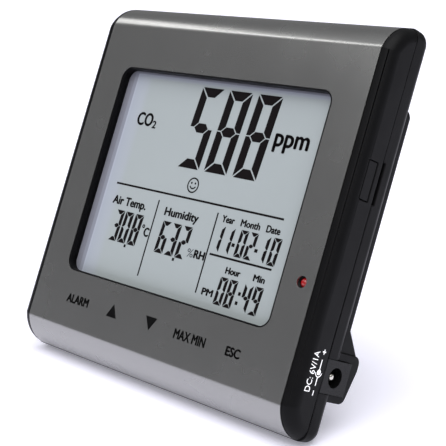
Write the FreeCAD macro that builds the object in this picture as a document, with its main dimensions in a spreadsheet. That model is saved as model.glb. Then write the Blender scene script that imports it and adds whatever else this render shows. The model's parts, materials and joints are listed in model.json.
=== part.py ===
import FreeCAD, Part
import math
import os
import re

import Sketcher
from FreeCAD import Placement, Rotation, Vector

# Desk carbon dioxide monitor, leaning back on its fold-out stand.
#
# Every piece is drawn in the monitor's own upright frame: X to the right, Y into the
# depth from the flat face, Z up the face from the lowest line of the housing. One
# placement then leans the whole instrument back and sets it on the table.

SIZES = {
    # housing
    "body_width": 120.0, "body_height": 117.0, "back_depth": 16.0, "parting_depth": 9.5,
    "cheek_width": 4.0, "face_curve": 12.0, "curve_depth": 11.6, "rear_round": 4.0,
    "side_round": 3.8, "back_side_round": 3.0, "panel_thick": 0.8, "case_wall": 3.0, "cover_wall": 2.0,
    "tongue_gap": 0.1, "tongue_height": 1.4, "lean": 22.86, "fit_gap": 0.05,
    # display window and its stack of parts
    "window_width": 88.2, "window_height": 67.4, "window_bottom": 26.9, "window_round": 3.4,
    "window_rim": 0.5, "glass_thick": 1.1, "glass_side": 2.9, "glass_ledge": 4.2,
    "contact_ledge": 2.8, "reflector_thick": 0.3, "frame_wall": 1.1, "zebra_thick": 1.6,
    # boards
    "board_bottom": 12.5, "board_height": 89.0, "board_front": 8.0,
    "board_thick": 1.6, "post_low": 30.0, "post_high": 96.0,
    "post_radius": 2.2, "board_screw_radius": 1.0, "board_head_radius": 2.1,
    "board_head_height": 1.3,
    # keys
    "key_pitch": 17.25, "key_height": 17.7, "key_radius": 2.6, "key_travel": 0.25,
    "key_flange_radius": 3.2, "key_flange_thick": 0.8, "switch_size": 4.5,
    "switch_height": 2.0, "stem_radius": 1.1,
    # indicator lamp
    "led_height": 41.6, "led_radius": 1.5, "led_hole_radius": 1.7,
    "led_tip": 0.6,
    # case screws
    "screw_low": 8.2, "boss_radius": 3.0,
    "screw_radius": 1.3, "head_radius": 2.6, "head_height": 1.7, "screw_length": 9.0,
    # raised rear housing and stand recess
    "hump_bottom": 28.0, "hump_top": 97.0,
    "hump_round": 3.0, "hump_edge": 1.2, "spine_width": 54.0, "spine_bottom": 4.5,
    "bay_bottom": 50.0, "louvre_top": 47.0, "louvre_lip": 0.9, "louvre_inner": 44.0,
    "recess_width": 38.4, "vent_width": 1.8, "vent_length": 24.0,
    "vent_pitch": 4.4,
    # stand
    "hinge_height": 86.0, "stand_width": 37.2, "stand_thick": 4.0,
    "stand_length": 79.0, "stand_shoulder": 1.8, "pin_radius": 1.5, "pin_length": 46.0,
    "knuckle_boss": 3.2, "heel_height": 3.0, "stop_gap": 0.02, "pad_radius": 2.2, "pad_length": 30.0,
    "foot_radius": 1.2, "foot_length": 14.0, "foot_x": 42.0, "foot_proud": 0.7,
    # power socket and its housing
    "socket_height": 19.0, "socket_size": 9.4, "socket_depth": 11.0, "socket_length": 13.8,
    "socket_axis": 5.2, "barrel_radius": 2.85, "barrel_depth": 9.5, "socket_pin_radius": 1.05,
    "pod_bottom": 12.1, "pod_top": 26.1,
    "pod_depth": 25.0, "pod_slope": 2.6, "pod_round": 2.4, "ramp_top": 36.5,
    # blanked port in the right side
    "port_low": 67.0, "port_length": 11.2, "port_front": 3.4, "port_depth": 4.1,
    "port_recess": 0.1, "port_gap": 0.2, "scallop_length": 12.0, "scallop_width": 1.2,
    "scallop_depth": 1.2,
    # gas sensor module and the other parts behind the board
    "sensor_x": 37.0, "sensor_low": 54.0, "sensor_width": 22.0, "sensor_length": 38.0,
    "sensor_lift": 1.6, "sensor_board": 1.0, "chamber_width": 17.0, "chamber_length": 30.0,
    "chamber_height": 6.2, "tube_radius": 2.1, "filter_radius": 3.6, "filter_thick": 0.4,
    "buzzer_x": -38.0, "buzzer_height": 62.0, "buzzer_radius": 6.0, "buzzer_depth": 5.4,
    "cell_x": -40.0, "cell_height": 34.0, "cell_radius": 6.25, "cell_thick": 2.0,
    "humidity_x": -38.0, "humidity_low": 78.0, "capacitor_x": 36.0, "capacitor_height": 18.5,
    "capacitor_radius": 3.0, "capacitor_depth": 3.4,
}

# Sizes that keep their distance from an outer side of the housing.
SIZES.update({
    "board_width": SIZES["body_width"] - 10.0, "post_x": SIZES["body_width"] / 2 - 7.7,
    "screw_x": SIZES["body_width"] / 2 - 9.0, "led_x": SIZES["body_width"] / 2 - 8.4,
    "hump_width": SIZES["body_width"] - 7.0, "pod_inner": SIZES["body_width"] / 2 - 17.0,
    "pod_side": SIZES["body_width"] / 2 - 0.8, "screw_high": SIZES["body_height"] - 9.5,
    "hump_depth": SIZES["back_depth"] + 5.3, "recess_floor": SIZES["back_depth"] + 0.6,
    "hinge_depth": SIZES["back_depth"] + 3.0,
})


def stance():
    """Where the leaning instrument stands: table height, middle depth and stand angle.

    The feet and the stand's pad touch the table plane, and the outer box is centred
    over the origin. Returns the shift back, the shift up and the opening in degrees.
    """
    s = SIZES
    tilt = math.radians(s["lean"])
    sine, cosine = math.sin(tilt), math.cos(tilt)

    def lean_back(depth, height):
        return depth * cosine + height * sine, height * cosine - depth * sine

    _, corner = lean_back(s["back_depth"] - s["rear_round"], s["rear_round"])
    table = corner - s["rear_round"] - s["foot_proud"]
    hinge_y, hinge_z = lean_back(s["hinge_depth"], s["hinge_height"])
    splay = math.acos((hinge_z - table - s["pad_radius"]) / s["stand_length"])
    crown, _ = lean_back(s["curve_depth"], s["face_curve"])
    front = crown - s["face_curve"]
    rear = hinge_y + s["stand_length"] * math.sin(splay) + s["pad_radius"]
    return -(front + rear) / 2, -table, math.degrees(tilt + splay)


SHIFT_BACK, SHIFT_UP, SIZES["stand_open"] = stance()

doc = FreeCAD.newDocument("co2_monitor")
sheet = doc.addObject("Spreadsheet::Sheet", "dims")
for row, (alias, value) in enumerate(SIZES.items(), start=1):
    sheet.set(f"A{row}", alias)
    sheet.set(f"B{row}", str(value))
    sheet.setAlias(f"B{row}", alias)
doc.recompute()

ALIAS = re.compile(r"\b(" + "|".join(sorted(SIZES, key=len, reverse=True)) + r")\b")
NODES = {}


def size(text):
    """The value of an expression of sheet names, in millimetres."""
    return float(sheet.evalExpression(ALIAS.sub(r"dims.\1", text)))


def bind(item, prop, text):
    """Tie one property of an object to an expression of sheet names."""
    item.setExpression(prop, ALIAS.sub(r"dims.\1", str(text)))


def bind_base(item, corner):
    """Tie an object's position to three expressions."""
    for axis, text in zip("xyz", corner):
        bind(item, f"Placement.Base.{axis}", text)


def box(name, spans):
    """A block between the low and high expressions given for X, Y and Z."""
    item = doc.addObject("Part::Box", name)
    for prop, (low, high) in zip(("Length", "Width", "Height"), spans):
        bind(item, prop, f"({high}) - ({low})")
    bind_base(item, [low for low, _ in spans])
    return item


TURN = {
    "X": Rotation(Vector(0, 1, 0), 90),
    "Y": Rotation(Vector(1, 0, 0), -90),
    "Z": Rotation(),
}


def rod(name, axis, radius, start, length):
    """A cylinder along one axis, from the point start."""
    item = doc.addObject("Part::Cylinder", name)
    item.Placement = Placement(Vector(), TURN[axis])
    bind(item, "Radius", radius)
    bind(item, "Height", length)
    bind_base(item, start)
    return item


def ball(name, radius, centre):
    """A sphere about a point."""
    item = doc.addObject("Part::Sphere", name)
    bind(item, "Radius", radius)
    bind_base(item, centre)
    return item


def cut(name, base, *tools):
    """The base with every tool taken away."""
    item = doc.addObject("Part::Cut", name)
    item.Base = base
    item.Tool = tools[0] if len(tools) == 1 else fuse(name + "_tools", *tools)
    return item


def fuse(name, *shapes):
    """The union of the shapes, or a group of them where they stand apart."""
    item = doc.addObject("Part::MultiFuse", name)
    item.Shapes = list(shapes)
    return item


def common(name, *shapes):
    """What the shapes share."""
    item = doc.addObject("Part::MultiCommon", name)
    item.Shapes = list(shapes)
    return item


def rounded(name, base, radius, chosen):
    """The base with the edges that chosen(edge) accepts rounded."""
    doc.recompute()
    item = doc.addObject("Part::Fillet", name)
    item.Base = base
    reach = size(radius)
    item.Edges = [
        (number, reach, reach)
        for number, edge in enumerate(base.Shape.Edges, start=1)
        if chosen(edge)
    ]
    return item


def spans_match(edge, wanted):
    """Whether an edge's box matches the wanted {axis: value} to a hundredth."""
    bounds = edge.BoundBox
    sides = {"x": (bounds.XMin, bounds.XMax), "y": (bounds.YMin, bounds.YMax),
             "z": (bounds.ZMin, bounds.ZMax)}
    return all(abs(sides[axis][0] - value) < 0.01 and abs(sides[axis][1] - value) < 0.01
               for axis, value in wanted.items())


def sketch_yz(name):
    """A sketch whose X runs into the depth and whose Y runs up the face."""
    sketch = doc.addObject("Sketcher::SketchObject", name)
    sketch.Placement = Placement(Vector(), Rotation(Vector(1, 1, 1), 120))
    return sketch


def extrude(name, sketch, low, high):
    """A sketch pulled along X from low to high."""
    item = doc.addObject("Part::Extrusion", name)
    item.Base = sketch
    item.DirMode = "Custom"
    item.Dir = Vector(1, 0, 0)
    item.Solid = True
    bind(item, "LengthFwd", high)
    bind(item, "LengthRev", f"-({low})")
    return item


def prism(name, corners, low, high):
    """A polygon in depth and height, pulled along X."""
    sketch = sketch_yz(name + "_sketch")
    points = [Vector(size(depth), size(height), 0) for depth, height in corners]
    for number, point in enumerate(points):
        sketch.addGeometry(Part.LineSegment(point, points[(number + 1) % len(points)]), False)
    for number, (depth, height) in enumerate(corners):
        following = (number + 1) % len(corners)
        sketch.addConstraint(Sketcher.Constraint("Coincident", number, 2, following, 1))
        for kind, text in (("DistanceX", depth), ("DistanceY", height)):
            made = sketch.addConstraint(
                Sketcher.Constraint(kind, -1, 1, number, 1, size(text)))
            bind(sketch, f"Constraints[{made}]", text)
    return extrude(name, sketch, low, high)


def housing(name, inset, low, high):
    """The housing's outline, set in by inset all round and pulled along X.

    A flat front runs into a large arc at the top and at the bottom, and the flat
    back into a small one at each end.
    """
    inner = size(inset)
    reach = size("face_curve") - inner
    small = size("rear_round") - inner
    depth, top, back = size("curve_depth"), size("body_height"), size("back_depth")
    rise = math.sqrt(reach ** 2 - (depth - inner) ** 2)
    break_angle = math.atan2(rise, inner - depth)
    high_centre = Vector(depth, top - inner - reach, 0)
    low_centre = Vector(depth, inner + reach, 0)
    rear_high = Vector(back - inner - small, top - inner - small, 0)
    rear_low = Vector(back - inner - small, inner + small, 0)
    right = math.pi / 2

    def line(start, end):
        return Part.LineSegment(Vector(*start, 0), Vector(*end, 0))

    def arc(centre, radius, start, end):
        return Part.ArcOfCircle(Part.Circle(centre, Vector(0, 0, 1), radius), start, end)

    sketch = sketch_yz(name + "_sketch")
    sketch.addGeometry([
        line((inner, high_centre.y + rise), (inner, low_centre.y - rise)),
        arc(low_centre, reach, 2 * math.pi - break_angle, 3 * right),
        line((depth, inner), (rear_low.x, inner)),
        arc(rear_low, small, 3 * right, 4 * right),
        line((back - inner, rear_low.y), (back - inner, rear_high.y)),
        arc(rear_high, small, 0, right),
        line((rear_high.x, top - inner), (depth, top - inner)),
        arc(high_centre, reach, right, break_angle),
    ], False)
    rules = [("Coincident", 0, 2, 1, 1), ("Coincident", 7, 2, 0, 1), ("Vertical", 0),
             ("Horizontal", 2), ("Vertical", 4), ("Horizontal", 6)]
    rules += [("Tangent", number, 2, number + 1, 1) for number in range(1, 7)]
    for rule in rules:
        sketch.addConstraint(Sketcher.Constraint(*rule))
    driven = [
        (("DistanceX", -1, 1, 0, 1), inset),
        (("DistanceY", -1, 1, 2, 1), inset),
        (("DistanceX", -1, 1, 4, 1), f"back_depth - ({inset})"),
        (("DistanceY", -1, 1, 6, 1), f"body_height - ({inset})"),
        (("DistanceX", -1, 1, 1, 3), "curve_depth"),
        (("DistanceX", -1, 1, 7, 3), "curve_depth"),
        (("Radius", 1), f"face_curve - ({inset})"),
        (("Radius", 7), f"face_curve - ({inset})"),
        (("Radius", 3), f"rear_round - ({inset})"),
        (("Radius", 5), f"rear_round - ({inset})"),
    ]
    for arguments, text in driven:
        made = sketch.addConstraint(Sketcher.Constraint(*arguments, size(text)))
        bind(sketch, f"Constraints[{made}]", text)
    return extrude(name, sketch, low, high)


def node(name, item):
    """Give a finished piece its name in the assembly."""
    NODES[name] = item
    return item


def mirrored(make):
    """Make a piece on the right and on the left: make(side name, sign)."""
    return [make("right", ""), make("left", "-")]


# Places that several pieces share.
HALF = "body_width / 2"
SILVER = "(body_width / 2 - cheek_width)"
WINDOW_TOP = "(window_bottom + window_height)"
BOARD_BACK = "(board_front + board_thick)"
SOCKET_AXIS = f"({BOARD_BACK} + socket_axis)"
KEYS = {"alarm": -2, "up": -1, "down": 0, "max_min": 1, "escape": 2}
SCREW_PLACES = [(f"{sign}screw_x", height) for sign in ("", "-")
                for height in ("screw_low", "screw_high")]
POST_PLACES = [(f"{sign}post_x", height) for sign in ("", "-")
               for height in ("post_low", "post_high")]


def window_opening(name, grow, front, back):
    """A block with rounded corners through the face at the display window."""
    block = box(name + "_block", [
        (f"-window_width / 2 - ({grow})", f"window_width / 2 + ({grow})"),
        (front, back),
        (f"window_bottom - ({grow})", f"{WINDOW_TOP} + ({grow})"),
    ])
    half, low, high = (size(f"window_width / 2 + ({grow})"), size(f"window_bottom - ({grow})"),
                       size(f"{WINDOW_TOP} + ({grow})"))
    return rounded(name, block, f"window_round + ({grow})", lambda edge: any(
        spans_match(edge, {"x": x, "z": z}) for x in (-half, half) for z in (low, high)))


def key_centre(step):
    """How far right of the middle a key stands."""
    return f"{step} * key_pitch"


def front_shell():
    """The outside of the front half, its side edges rounded all the way round.

    A block with tangent corners gives the curved ends, and a flat-fronted one trims
    them where they meet the face in a crease.
    """
    side, crown = size(HALF), size("curve_depth - face_curve")
    rear, top = size("back_depth"), size("body_height")
    block = box("front_block", [(f"-{HALF}", HALF), ("curve_depth - face_curve", "back_depth"),
                                ("0", "body_height")])
    ends = rounded("front_ends", block, "face_curve", lambda edge: any(
        spans_match(edge, {"y": crown, "z": z}) for z in (0, top)))
    curved = rounded("front_curved", ends, "side_round", lambda edge: any(
        spans_match(edge, {"x": x}) for x in (-side, side))
        and not spans_match(edge, {"y": rear}))
    flat_block = box("flat_block", [(f"-{HALF}", HALF), ("0", "parting_depth"),
                                    ("-1", "body_height + 1")])
    flat = rounded("front_flat", flat_block, "side_round", lambda edge: any(
        spans_match(edge, {"y": 0, "x": x}) for x in (-side, side)))
    return common("case_outer", curved, flat)


def rear_shell():
    """The outside of the rear half, its rear edges rounded."""
    side, joint, rear = size(HALF), size("parting_depth"), size("back_depth")
    block = box("rear_block", [(f"-{HALF}", HALF), ("parting_depth", "back_depth"),
                               ("0", "body_height")])
    ends = rounded("rear_ends", block, "rear_round", lambda edge: any(
        spans_match(edge, {"y": rear, "z": z}) for z in (0, size("body_height"))))
    return rounded("cover_outer", ends, "back_side_round", lambda edge: any(
        spans_match(edge, {"x": x}) for x in (-side, side))
        and not spans_match(edge, {"y": joint}))


def front_panel():
    """The silver face: a thin formed sheet that wraps round top and bottom."""
    skin = cut("panel_skin", housing("panel_outer", "0", f"-{SILVER}", SILVER),
               housing("panel_inner", "panel_thick", f"-{HALF}", HALF))
    front = box("panel_front", [(f"-{HALF}", HALF), ("-1", "parting_depth - fit_gap"),
                                ("-1", "body_height + 1")])
    sheet_metal = common("panel_sheet", skin, front)
    lamp_hole = rod("panel_lamp_hole", "Y", "led_hole_radius", ("led_x", "-1", "led_height"), "4")
    opening = window_opening("panel_window", "window_rim", "-1", "3")
    node("front_panel", cut("panel", sheet_metal, opening, lamp_hole))


def front_case():
    """The black front moulding with its cheeks, window frame, bosses and posts."""
    outer = front_shell()
    tongue_front = box("tongue_front", [
        (f"-{HALF}", HALF), ("parting_depth - 1", "parting_depth + tongue_height"),
        ("-1", "body_height + 1")])
    tongue_inset = "(cover_wall + tongue_gap)"
    tongue = common("tongue", tongue_front, housing(
        "tongue_block", tongue_inset, f"-{HALF} + {tongue_inset}", f"{HALF} - {tongue_inset}"))
    cavity = housing("case_cavity", "case_wall", f"-{HALF} + case_wall", f"{HALF} - case_wall")
    panel_seat = cut("panel_seat", housing("seat_outer", "0 - 1", f"-{SILVER}", SILVER),
                     housing("seat_inner", "panel_thick", f"-{HALF}", HALF))
    seat = common("seat", panel_seat, box("seat_front", [
        (f"-{HALF}", HALF), ("-2", "parting_depth + tongue_height"), ("-2", "body_height + 2")]))
    rim = cut("rim", window_opening("rim_outer", "window_rim - 0.02", "0.1", "panel_thick + 0.5"),
              window_opening("rim_inner", "0", "-1", "case_wall + 1"))
    walls = cut("case_walls", fuse("case_solid", outer, tongue), cavity, seat,
                window_opening("case_window", "0", "-1", "case_wall + 1"))
    bosses = [rod(f"boss_{number}", "Y", "boss_radius", (x, "case_wall - 0.2", z),
                  "parting_depth - case_wall + 0.2")
              for number, (x, z) in enumerate(SCREW_PLACES)]
    posts = [rod(f"post_{number}", "Y", "post_radius", (x, "case_wall - 0.2", z),
                 "board_front - case_wall + 0.2")
             for number, (x, z) in enumerate(POST_PLACES)]
    holes = [rod(f"boss_hole_{number}", "Y", "screw_radius + fit_gap", (x, "3.2", z), "9")
             for number, (x, z) in enumerate(SCREW_PLACES)]
    holes += [rod(f"post_hole_{number}", "Y", "board_screw_radius + fit_gap", (x, "3.4", z), "9")
              for number, (x, z) in enumerate(POST_PLACES)]
    holes += [rod(f"key_hole_{name}", "Y", "key_radius + fit_gap + 0.05",
                  (key_centre(step), "-1", "key_height"), "9") for name, step in KEYS.items()]
    holes.append(rod("case_lamp_hole", "Y", "led_radius + 0.1", ("led_x", "-1", "led_height"), "6"))
    holes.append(box("port_hole", [(f"{HALF} - case_wall - 1", f"{HALF} + 1"),
                                   ("port_front", "port_front + port_depth"),
                                   ("port_low", "port_low + port_length")]))
    holes.append(socket_room("case_socket_room", "fit_gap"))
    node("front_case", cut("case", fuse("case_full", walls, rim, *bosses, *posts), *holes))


def socket_room(name, gap):
    """The space that the power socket takes, with a gap all round."""
    return box(name, [
        (f"{HALF} - socket_length - 0.2", f"{HALF} + 1"),
        (f"{BOARD_BACK} - 0.05", f"{BOARD_BACK} + socket_depth + ({gap})"),
        (f"socket_height - socket_size / 2 - ({gap})", f"socket_height + socket_size / 2 + ({gap})"),
    ])


def raised_block(name, half, low, high, top_round):
    """A raised pad on the back, with rounded rear edges."""
    block = box(name + "_block", [(f"-({half})", half), ("back_depth - cover_wall", "hump_depth"),
                                  (low, high)])
    side, rear, floor, roof = size(half), size("hump_depth"), size(low), size(high)
    soft = rounded(name + "_soft", block, "hump_edge", lambda edge: any(
        spans_match(edge, {"y": rear, "x": x}) for x in (-side, side))
        or spans_match(edge, {"y": rear, "z": floor}))
    if top_round is None:
        return soft
    return rounded(name, soft, top_round, lambda edge: spans_match(edge, {"y": rear, "z": roof}))


def rear_cover():
    """The black back moulding: raised sensor housing, stand recess and socket pod."""
    outer = rear_shell()
    hump = raised_block("hump", "hump_width / 2", "hump_bottom", "hump_top", "hump_round")
    spine = raised_block("spine", "spine_width / 2", "spine_bottom", "hump_bottom + 6", None)
    pod_rough = prism("pod_block", [
        ("parting_depth + 1", "pod_bottom"), ("pod_depth - pod_slope", "pod_bottom"),
        ("pod_depth", "pod_top - 4"), ("pod_depth", "pod_top"), ("parting_depth + 1", "pod_top"),
    ], "pod_inner", "pod_side")
    rear, roof, floor = size("pod_depth"), size("pod_top"), size("pod_bottom")
    pod = rounded("pod", pod_rough, "pod_round", lambda edge: spans_match(
        edge, {"y": rear, "z": roof}) or spans_match(
            edge, {"y": rear - size("pod_slope"), "z": floor}))
    ramp = doc.addObject("Part::Wedge", "pod_ramp")
    ramp.Placement = Placement(Vector(), Rotation(Vector(1, 0, 0), 90))
    for prop, text in {
            "Xmin": "pod_inner", "Xmax": "pod_side", "Ymin": "pod_top - 0.2", "Ymax": "ramp_top",
            "Zmin": "-(pod_depth - pod_round)", "Zmax": "-(back_depth - cover_wall)",
            "X2min": "pod_inner + 3", "X2max": "hump_width / 2 + 0.6",
            "Z2min": "-(back_depth + 0.2)", "Z2max": "-(back_depth - cover_wall)"}.items():
        bind(ramp, prop, text)
    cavity = housing("cover_cavity", "cover_wall", f"-{HALF} + cover_wall", f"{HALF} - cover_wall")
    bays = mirrored(lambda side, sign: bay(side, sign))
    louvres = mirrored(lambda side, sign: louvre(side, sign))
    recess = box("stand_recess", [("-recess_width / 2", "recess_width / 2"),
                                  ("recess_floor", "hump_depth + 5"),
                                  ("-1", "hinge_height + heel_height + 2.5")])
    heel_room = box("heel_room", [
        ("-recess_width / 2", "recess_width / 2"),
        ("hinge_depth - stand_thick / 2 * cos(stand_open * 1 deg)"
         " - heel_height * sin(stand_open * 1 deg) - stop_gap", "hump_depth + 5"),
        ("hinge_height - 4", "hinge_height + heel_height + 2.5")])
    pod_room = box("pod_room", [
        ("pod_inner + cover_wall", "pod_side - cover_wall"),
        ("parting_depth", "pod_depth - pod_slope - cover_wall"),
        ("pod_bottom + cover_wall", "pod_top - cover_wall")])
    screw_posts = [rod(f"cover_post_{number}", "Y", "boss_radius", (x, "parting_depth", z),
                       "back_depth - parting_depth - 0.2")
                   for number, (x, z) in enumerate(SCREW_PLACES)]
    hinge_bosses = mirrored(lambda side, sign: box(f"hinge_boss_{side}", [
        (f"{sign}recess_width / 2 - knuckle_boss" if sign else "recess_width / 2",
         f"{sign}recess_width / 2" if sign else "recess_width / 2 + knuckle_boss"),
        ("back_depth - cover_wall", "hump_depth - cover_wall + 0.2"),
        ("hinge_height - knuckle_boss", "hinge_height + knuckle_boss")]))
    tools = [recess, heel_room, pod_room, socket_room("cover_socket_room", "fit_gap")]
    tools += [rod(f"cover_hole_{number}", "Y", "screw_radius + 0.3", (x, "0", z), "30")
              for number, (x, z) in enumerate(SCREW_PLACES)]
    tools += [rod(f"counterbore_{number}", "Y", "head_radius + 0.3",
                  (x, "back_depth - head_height - 0.2", z), "30")
              for number, (x, z) in enumerate(SCREW_PLACES)]
    tools.append(rod("pin_hole", "X", "pin_radius + fit_gap",
                     ("-pin_length / 2 - 0.1", "hinge_depth", "hinge_height"), "pin_length + 0.2"))
    tools += mirrored(lambda side, sign: foot_bar(f"foot_groove_{side}", sign, "0.2"))
    tools += mirrored(lambda side, sign: vents(side, sign))
    tools.append(box("scallop", [
        (f"{HALF} - scallop_depth", f"{HALF} + 1"),
        ("parting_depth - 1", "parting_depth + scallop_width"),
        ("port_low - 0.2", "port_low - 0.2 + scallop_length")]))
    raised = cut("cover_raised", fuse("cover_pads", hump, spine), *louvres)
    body = cut("cover_hollow", fuse("cover_solid", outer, raised, pod, ramp), cavity, *bays)
    node("rear_cover", cut("cover", fuse("cover_full", body, *screw_posts, *hinge_bosses), *tools))


def bay(side, sign):
    """The hollow inside one half of the raised housing, open to the main cavity."""
    inner, outer = "recess_width / 2 + cover_wall", "hump_width / 2 - cover_wall"
    low, high = (inner, outer) if not sign else (f"-({outer})", f"-({inner})")
    return box(f"bay_{side}", [(low, high),
                               ("back_depth - cover_wall - 1", "hump_depth - cover_wall"),
                               ("bay_bottom + cover_wall", "hump_top - cover_wall")])


def louvre(side, sign):
    """The wedge of air under the raised housing's lower outer corner."""
    low, high = "louvre_inner", "hump_width / 2 + 2"
    if sign:
        low, high = f"-({high})", f"-({low})"
    return prism(f"louvre_{side}", [
        ("back_depth", "louvre_top"), ("back_depth", "hump_bottom - 1"),
        ("hump_depth - louvre_lip", "hump_bottom - 1")], low, high)


def vents(side, sign):
    """A column of slots through the raised housing, over the sensors."""
    half = "vent_length / 2"
    slots = [box(f"vent_{side}_{number}", [
        (f"{sign}sensor_x - {half}", f"{sign}sensor_x + {half}"),
        ("hump_depth - cover_wall - 0.5", "hump_depth + 1"),
        (f"sensor_low + 4 + {number} * vent_pitch",
         f"sensor_low + 4 + {number} * vent_pitch + vent_width")]) for number in range(8)]
    return fuse(f"vents_{side}", *slots)


def foot_bar(name, sign, extra):
    """A round bar along X, set in the rear lower corner on its lowest line."""
    depth = "back_depth - rear_round + (rear_round - foot_radius + foot_proud) * sin(lean * 1 deg)"
    height = "rear_round - (rear_round - foot_radius + foot_proud) * cos(lean * 1 deg)"
    start = f"{sign}foot_x - (foot_length + {extra}) / 2"
    return rod(name, "X", "foot_radius", (start, depth, height), f"foot_length + {extra}")


def display():
    """The display: two glasses, reflector, frame and contact strips."""
    half = "(window_width / 2 + glass_side)"
    low, high = "(window_bottom - glass_ledge)", f"({WINDOW_TOP} + glass_ledge)"
    first = "case_wall"
    second = "(case_wall + glass_thick)"
    third = "(case_wall + 2 * glass_thick)"
    node("display_front_glass", box("front_glass", [
        (f"-{half}", half), (first, second), (low, high)]))
    cell_span = (f"{low} + contact_ledge", f"{high} - contact_ledge")
    node("display_rear_glass", box("rear_glass", [(f"-{half}", half), (second, third), cell_span]))
    node("display_reflector", box("reflector", [
        (f"-{half}", half), (third, f"{third} + reflector_thick"), cell_span]))
    outer = box("frame_outer", [
        (f"-{half} - 0.1 - frame_wall", f"{half} + 0.1 + frame_wall"), (first, "board_front"),
        (f"{low} - 0.1 - frame_wall", f"{high} + 0.1 + frame_wall")])
    inner = box("frame_inner", [(f"-{half} - 0.1", f"{half} + 0.1"), ("0", "board_front + 1"),
                                (f"{low} - 0.1", f"{high} + 0.1")])
    shelf = box("frame_shelf", [
        (f"-{half} - 0.2", f"{half} + 0.2"), (f"{third} + reflector_thick", "board_front"),
        cell_span])
    light = box("frame_shelf_hole", [
        (f"-{half} + 4", f"{half} - 4"), ("0", "board_front + 1"),
        (f"{cell_span[0]} + 4", f"{cell_span[1]} - 4")])
    node("display_frame", fuse("frame", cut("frame_ring", outer, inner),
                               cut("frame_plate", shelf, light)))
    strips = [box(f"zebra_{place}", [
        (f"-{half} + 3", f"{half} - 3"), (second, "board_front"),
        (f"{start} + 0.5", f"{start} + 0.5 + zebra_thick")])
        for place, start in (("low", low), ("high", f"{high} - 1 - zebra_thick"))]
    node("display_contact_strips", fuse("zebra_strips", *strips))


def boards():
    """The main board, its screws and the small parts soldered to it."""
    board = box("board", [("-board_width / 2", "board_width / 2"), ("board_front", BOARD_BACK),
                          ("board_bottom", "board_bottom + board_height")])
    holes = [rod(f"board_hole_{number}", "Y", "board_screw_radius + 0.2", (x, "0", z), "20")
             for number, (x, z) in enumerate(POST_PLACES)]
    node("main_board", cut("board_drilled", board, *holes))
    screws = []
    for number, (x, z) in enumerate(POST_PLACES):
        screws.append(fuse(
            f"board_screw_{number}",
            rod(f"board_shank_{number}", "Y", "board_screw_radius", (x, "3.6", z),
                f"{BOARD_BACK} - 3.6"),
            rod(f"board_head_{number}", "Y", "board_head_radius", (x, BOARD_BACK, z),
                "board_head_height")))
    node("board_screws", fuse("board_screw_set", *screws))
    chips = {"controller": (0, 62, 12, 12, 1.6), "driver": (-20, 44, 14, 8, 1.4),
             "amplifier": (14, 40, 8, 6, 1.2), "regulator": (30, 31, 7, 7, 1.8)}
    bodies = [box(f"chip_{name}", [(str(x), str(x + wide)), (BOARD_BACK, f"{BOARD_BACK} + {deep}"),
                                   (str(z), str(z + tall))])
              for name, (x, z, wide, tall, deep) in chips.items()]
    node("board_chips", fuse("chip_set", *bodies))
    node("power_capacitor", rod("capacitor", "Y", "capacitor_radius", (
        "capacitor_x", BOARD_BACK, "capacitor_height"), "capacitor_depth"))
    node("buzzer", cut(
        "buzzer_can",
        rod("buzzer_body", "Y", "buzzer_radius", ("buzzer_x", BOARD_BACK, "buzzer_height"),
            "buzzer_depth"),
        rod("buzzer_port", "Y", "1", ("buzzer_x", f"{BOARD_BACK} + buzzer_depth - 1",
                                      "buzzer_height"), "2")))
    cup = rod("cell_cup", "Y", "cell_radius + 1.1", ("cell_x", BOARD_BACK, "cell_height"),
              "cell_thick + 0.5")
    seat = rod("cell_seat", "Y", "cell_radius + 0.1", (
        "cell_x", f"{BOARD_BACK} + 0.4", "cell_height"), "cell_thick + 2")
    node("clock_cell_holder", cut("cell_holder", cup, seat))
    node("clock_cell", rod("cell", "Y", "cell_radius", (
        "cell_x", f"{BOARD_BACK} + 0.4", "cell_height"), "cell_thick"))
    block = box("humidity_block", [("humidity_x - 5", "humidity_x + 5"),
                                   (BOARD_BACK, f"{BOARD_BACK} + 3.6"),
                                   ("humidity_low", "humidity_low + 12")])
    slots = [box(f"humidity_slot_{number}", [
        ("humidity_x - 3.4", "humidity_x + 3.4"), (f"{BOARD_BACK} + 2.6", f"{BOARD_BACK} + 5"),
        (f"humidity_low + 2 + {number} * 2.3", f"humidity_low + 3 + {number} * 2.3")])
        for number in range(4)]
    node("humidity_sensor", cut("humidity_case", block, *slots))


def keys():
    """Five plungers behind the face, each on the stem of its own switch."""
    for name, step in KEYS.items():
        x = key_centre(step)
        shaft = rod(f"plunger_shaft_{name}", "Y", "key_radius",
                    (x, "panel_thick + fit_gap", "key_height"), "case_wall + 1 - panel_thick")
        flange = rod(f"plunger_flange_{name}", "Y", "key_flange_radius",
                     (x, "case_wall + 0.1", "key_height"), "key_flange_thick")
        shoe = rod(f"plunger_shoe_{name}", "Y", "stem_radius",
                   (x, "case_wall + 0.2", "key_height"), "1.5")
        node(f"key_plunger_{name}", fuse(f"plunger_{name}", shaft, flange, shoe))
        node(f"key_stem_{name}", rod(
            f"stem_{name}", "Y", "stem_radius", (x, "case_wall + 1.7", "key_height"),
            "board_front - switch_height - case_wall - 1.7 + 0.6"))
    bodies = []
    for name, step in KEYS.items():
        x = key_centre(step)
        bodies.append(cut(
            f"switch_{name}",
            box(f"switch_block_{name}", [
                (f"{x} - switch_size / 2", f"{x} + switch_size / 2"),
                ("board_front - switch_height", "board_front"),
                ("key_height - switch_size / 2", "key_height + switch_size / 2")]),
            rod(f"switch_well_{name}", "Y", "stem_radius + 0.3",
                (x, "0", "key_height"), "board_front - 0.7")))
    node("key_switches", fuse("switch_set", *bodies))


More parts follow.
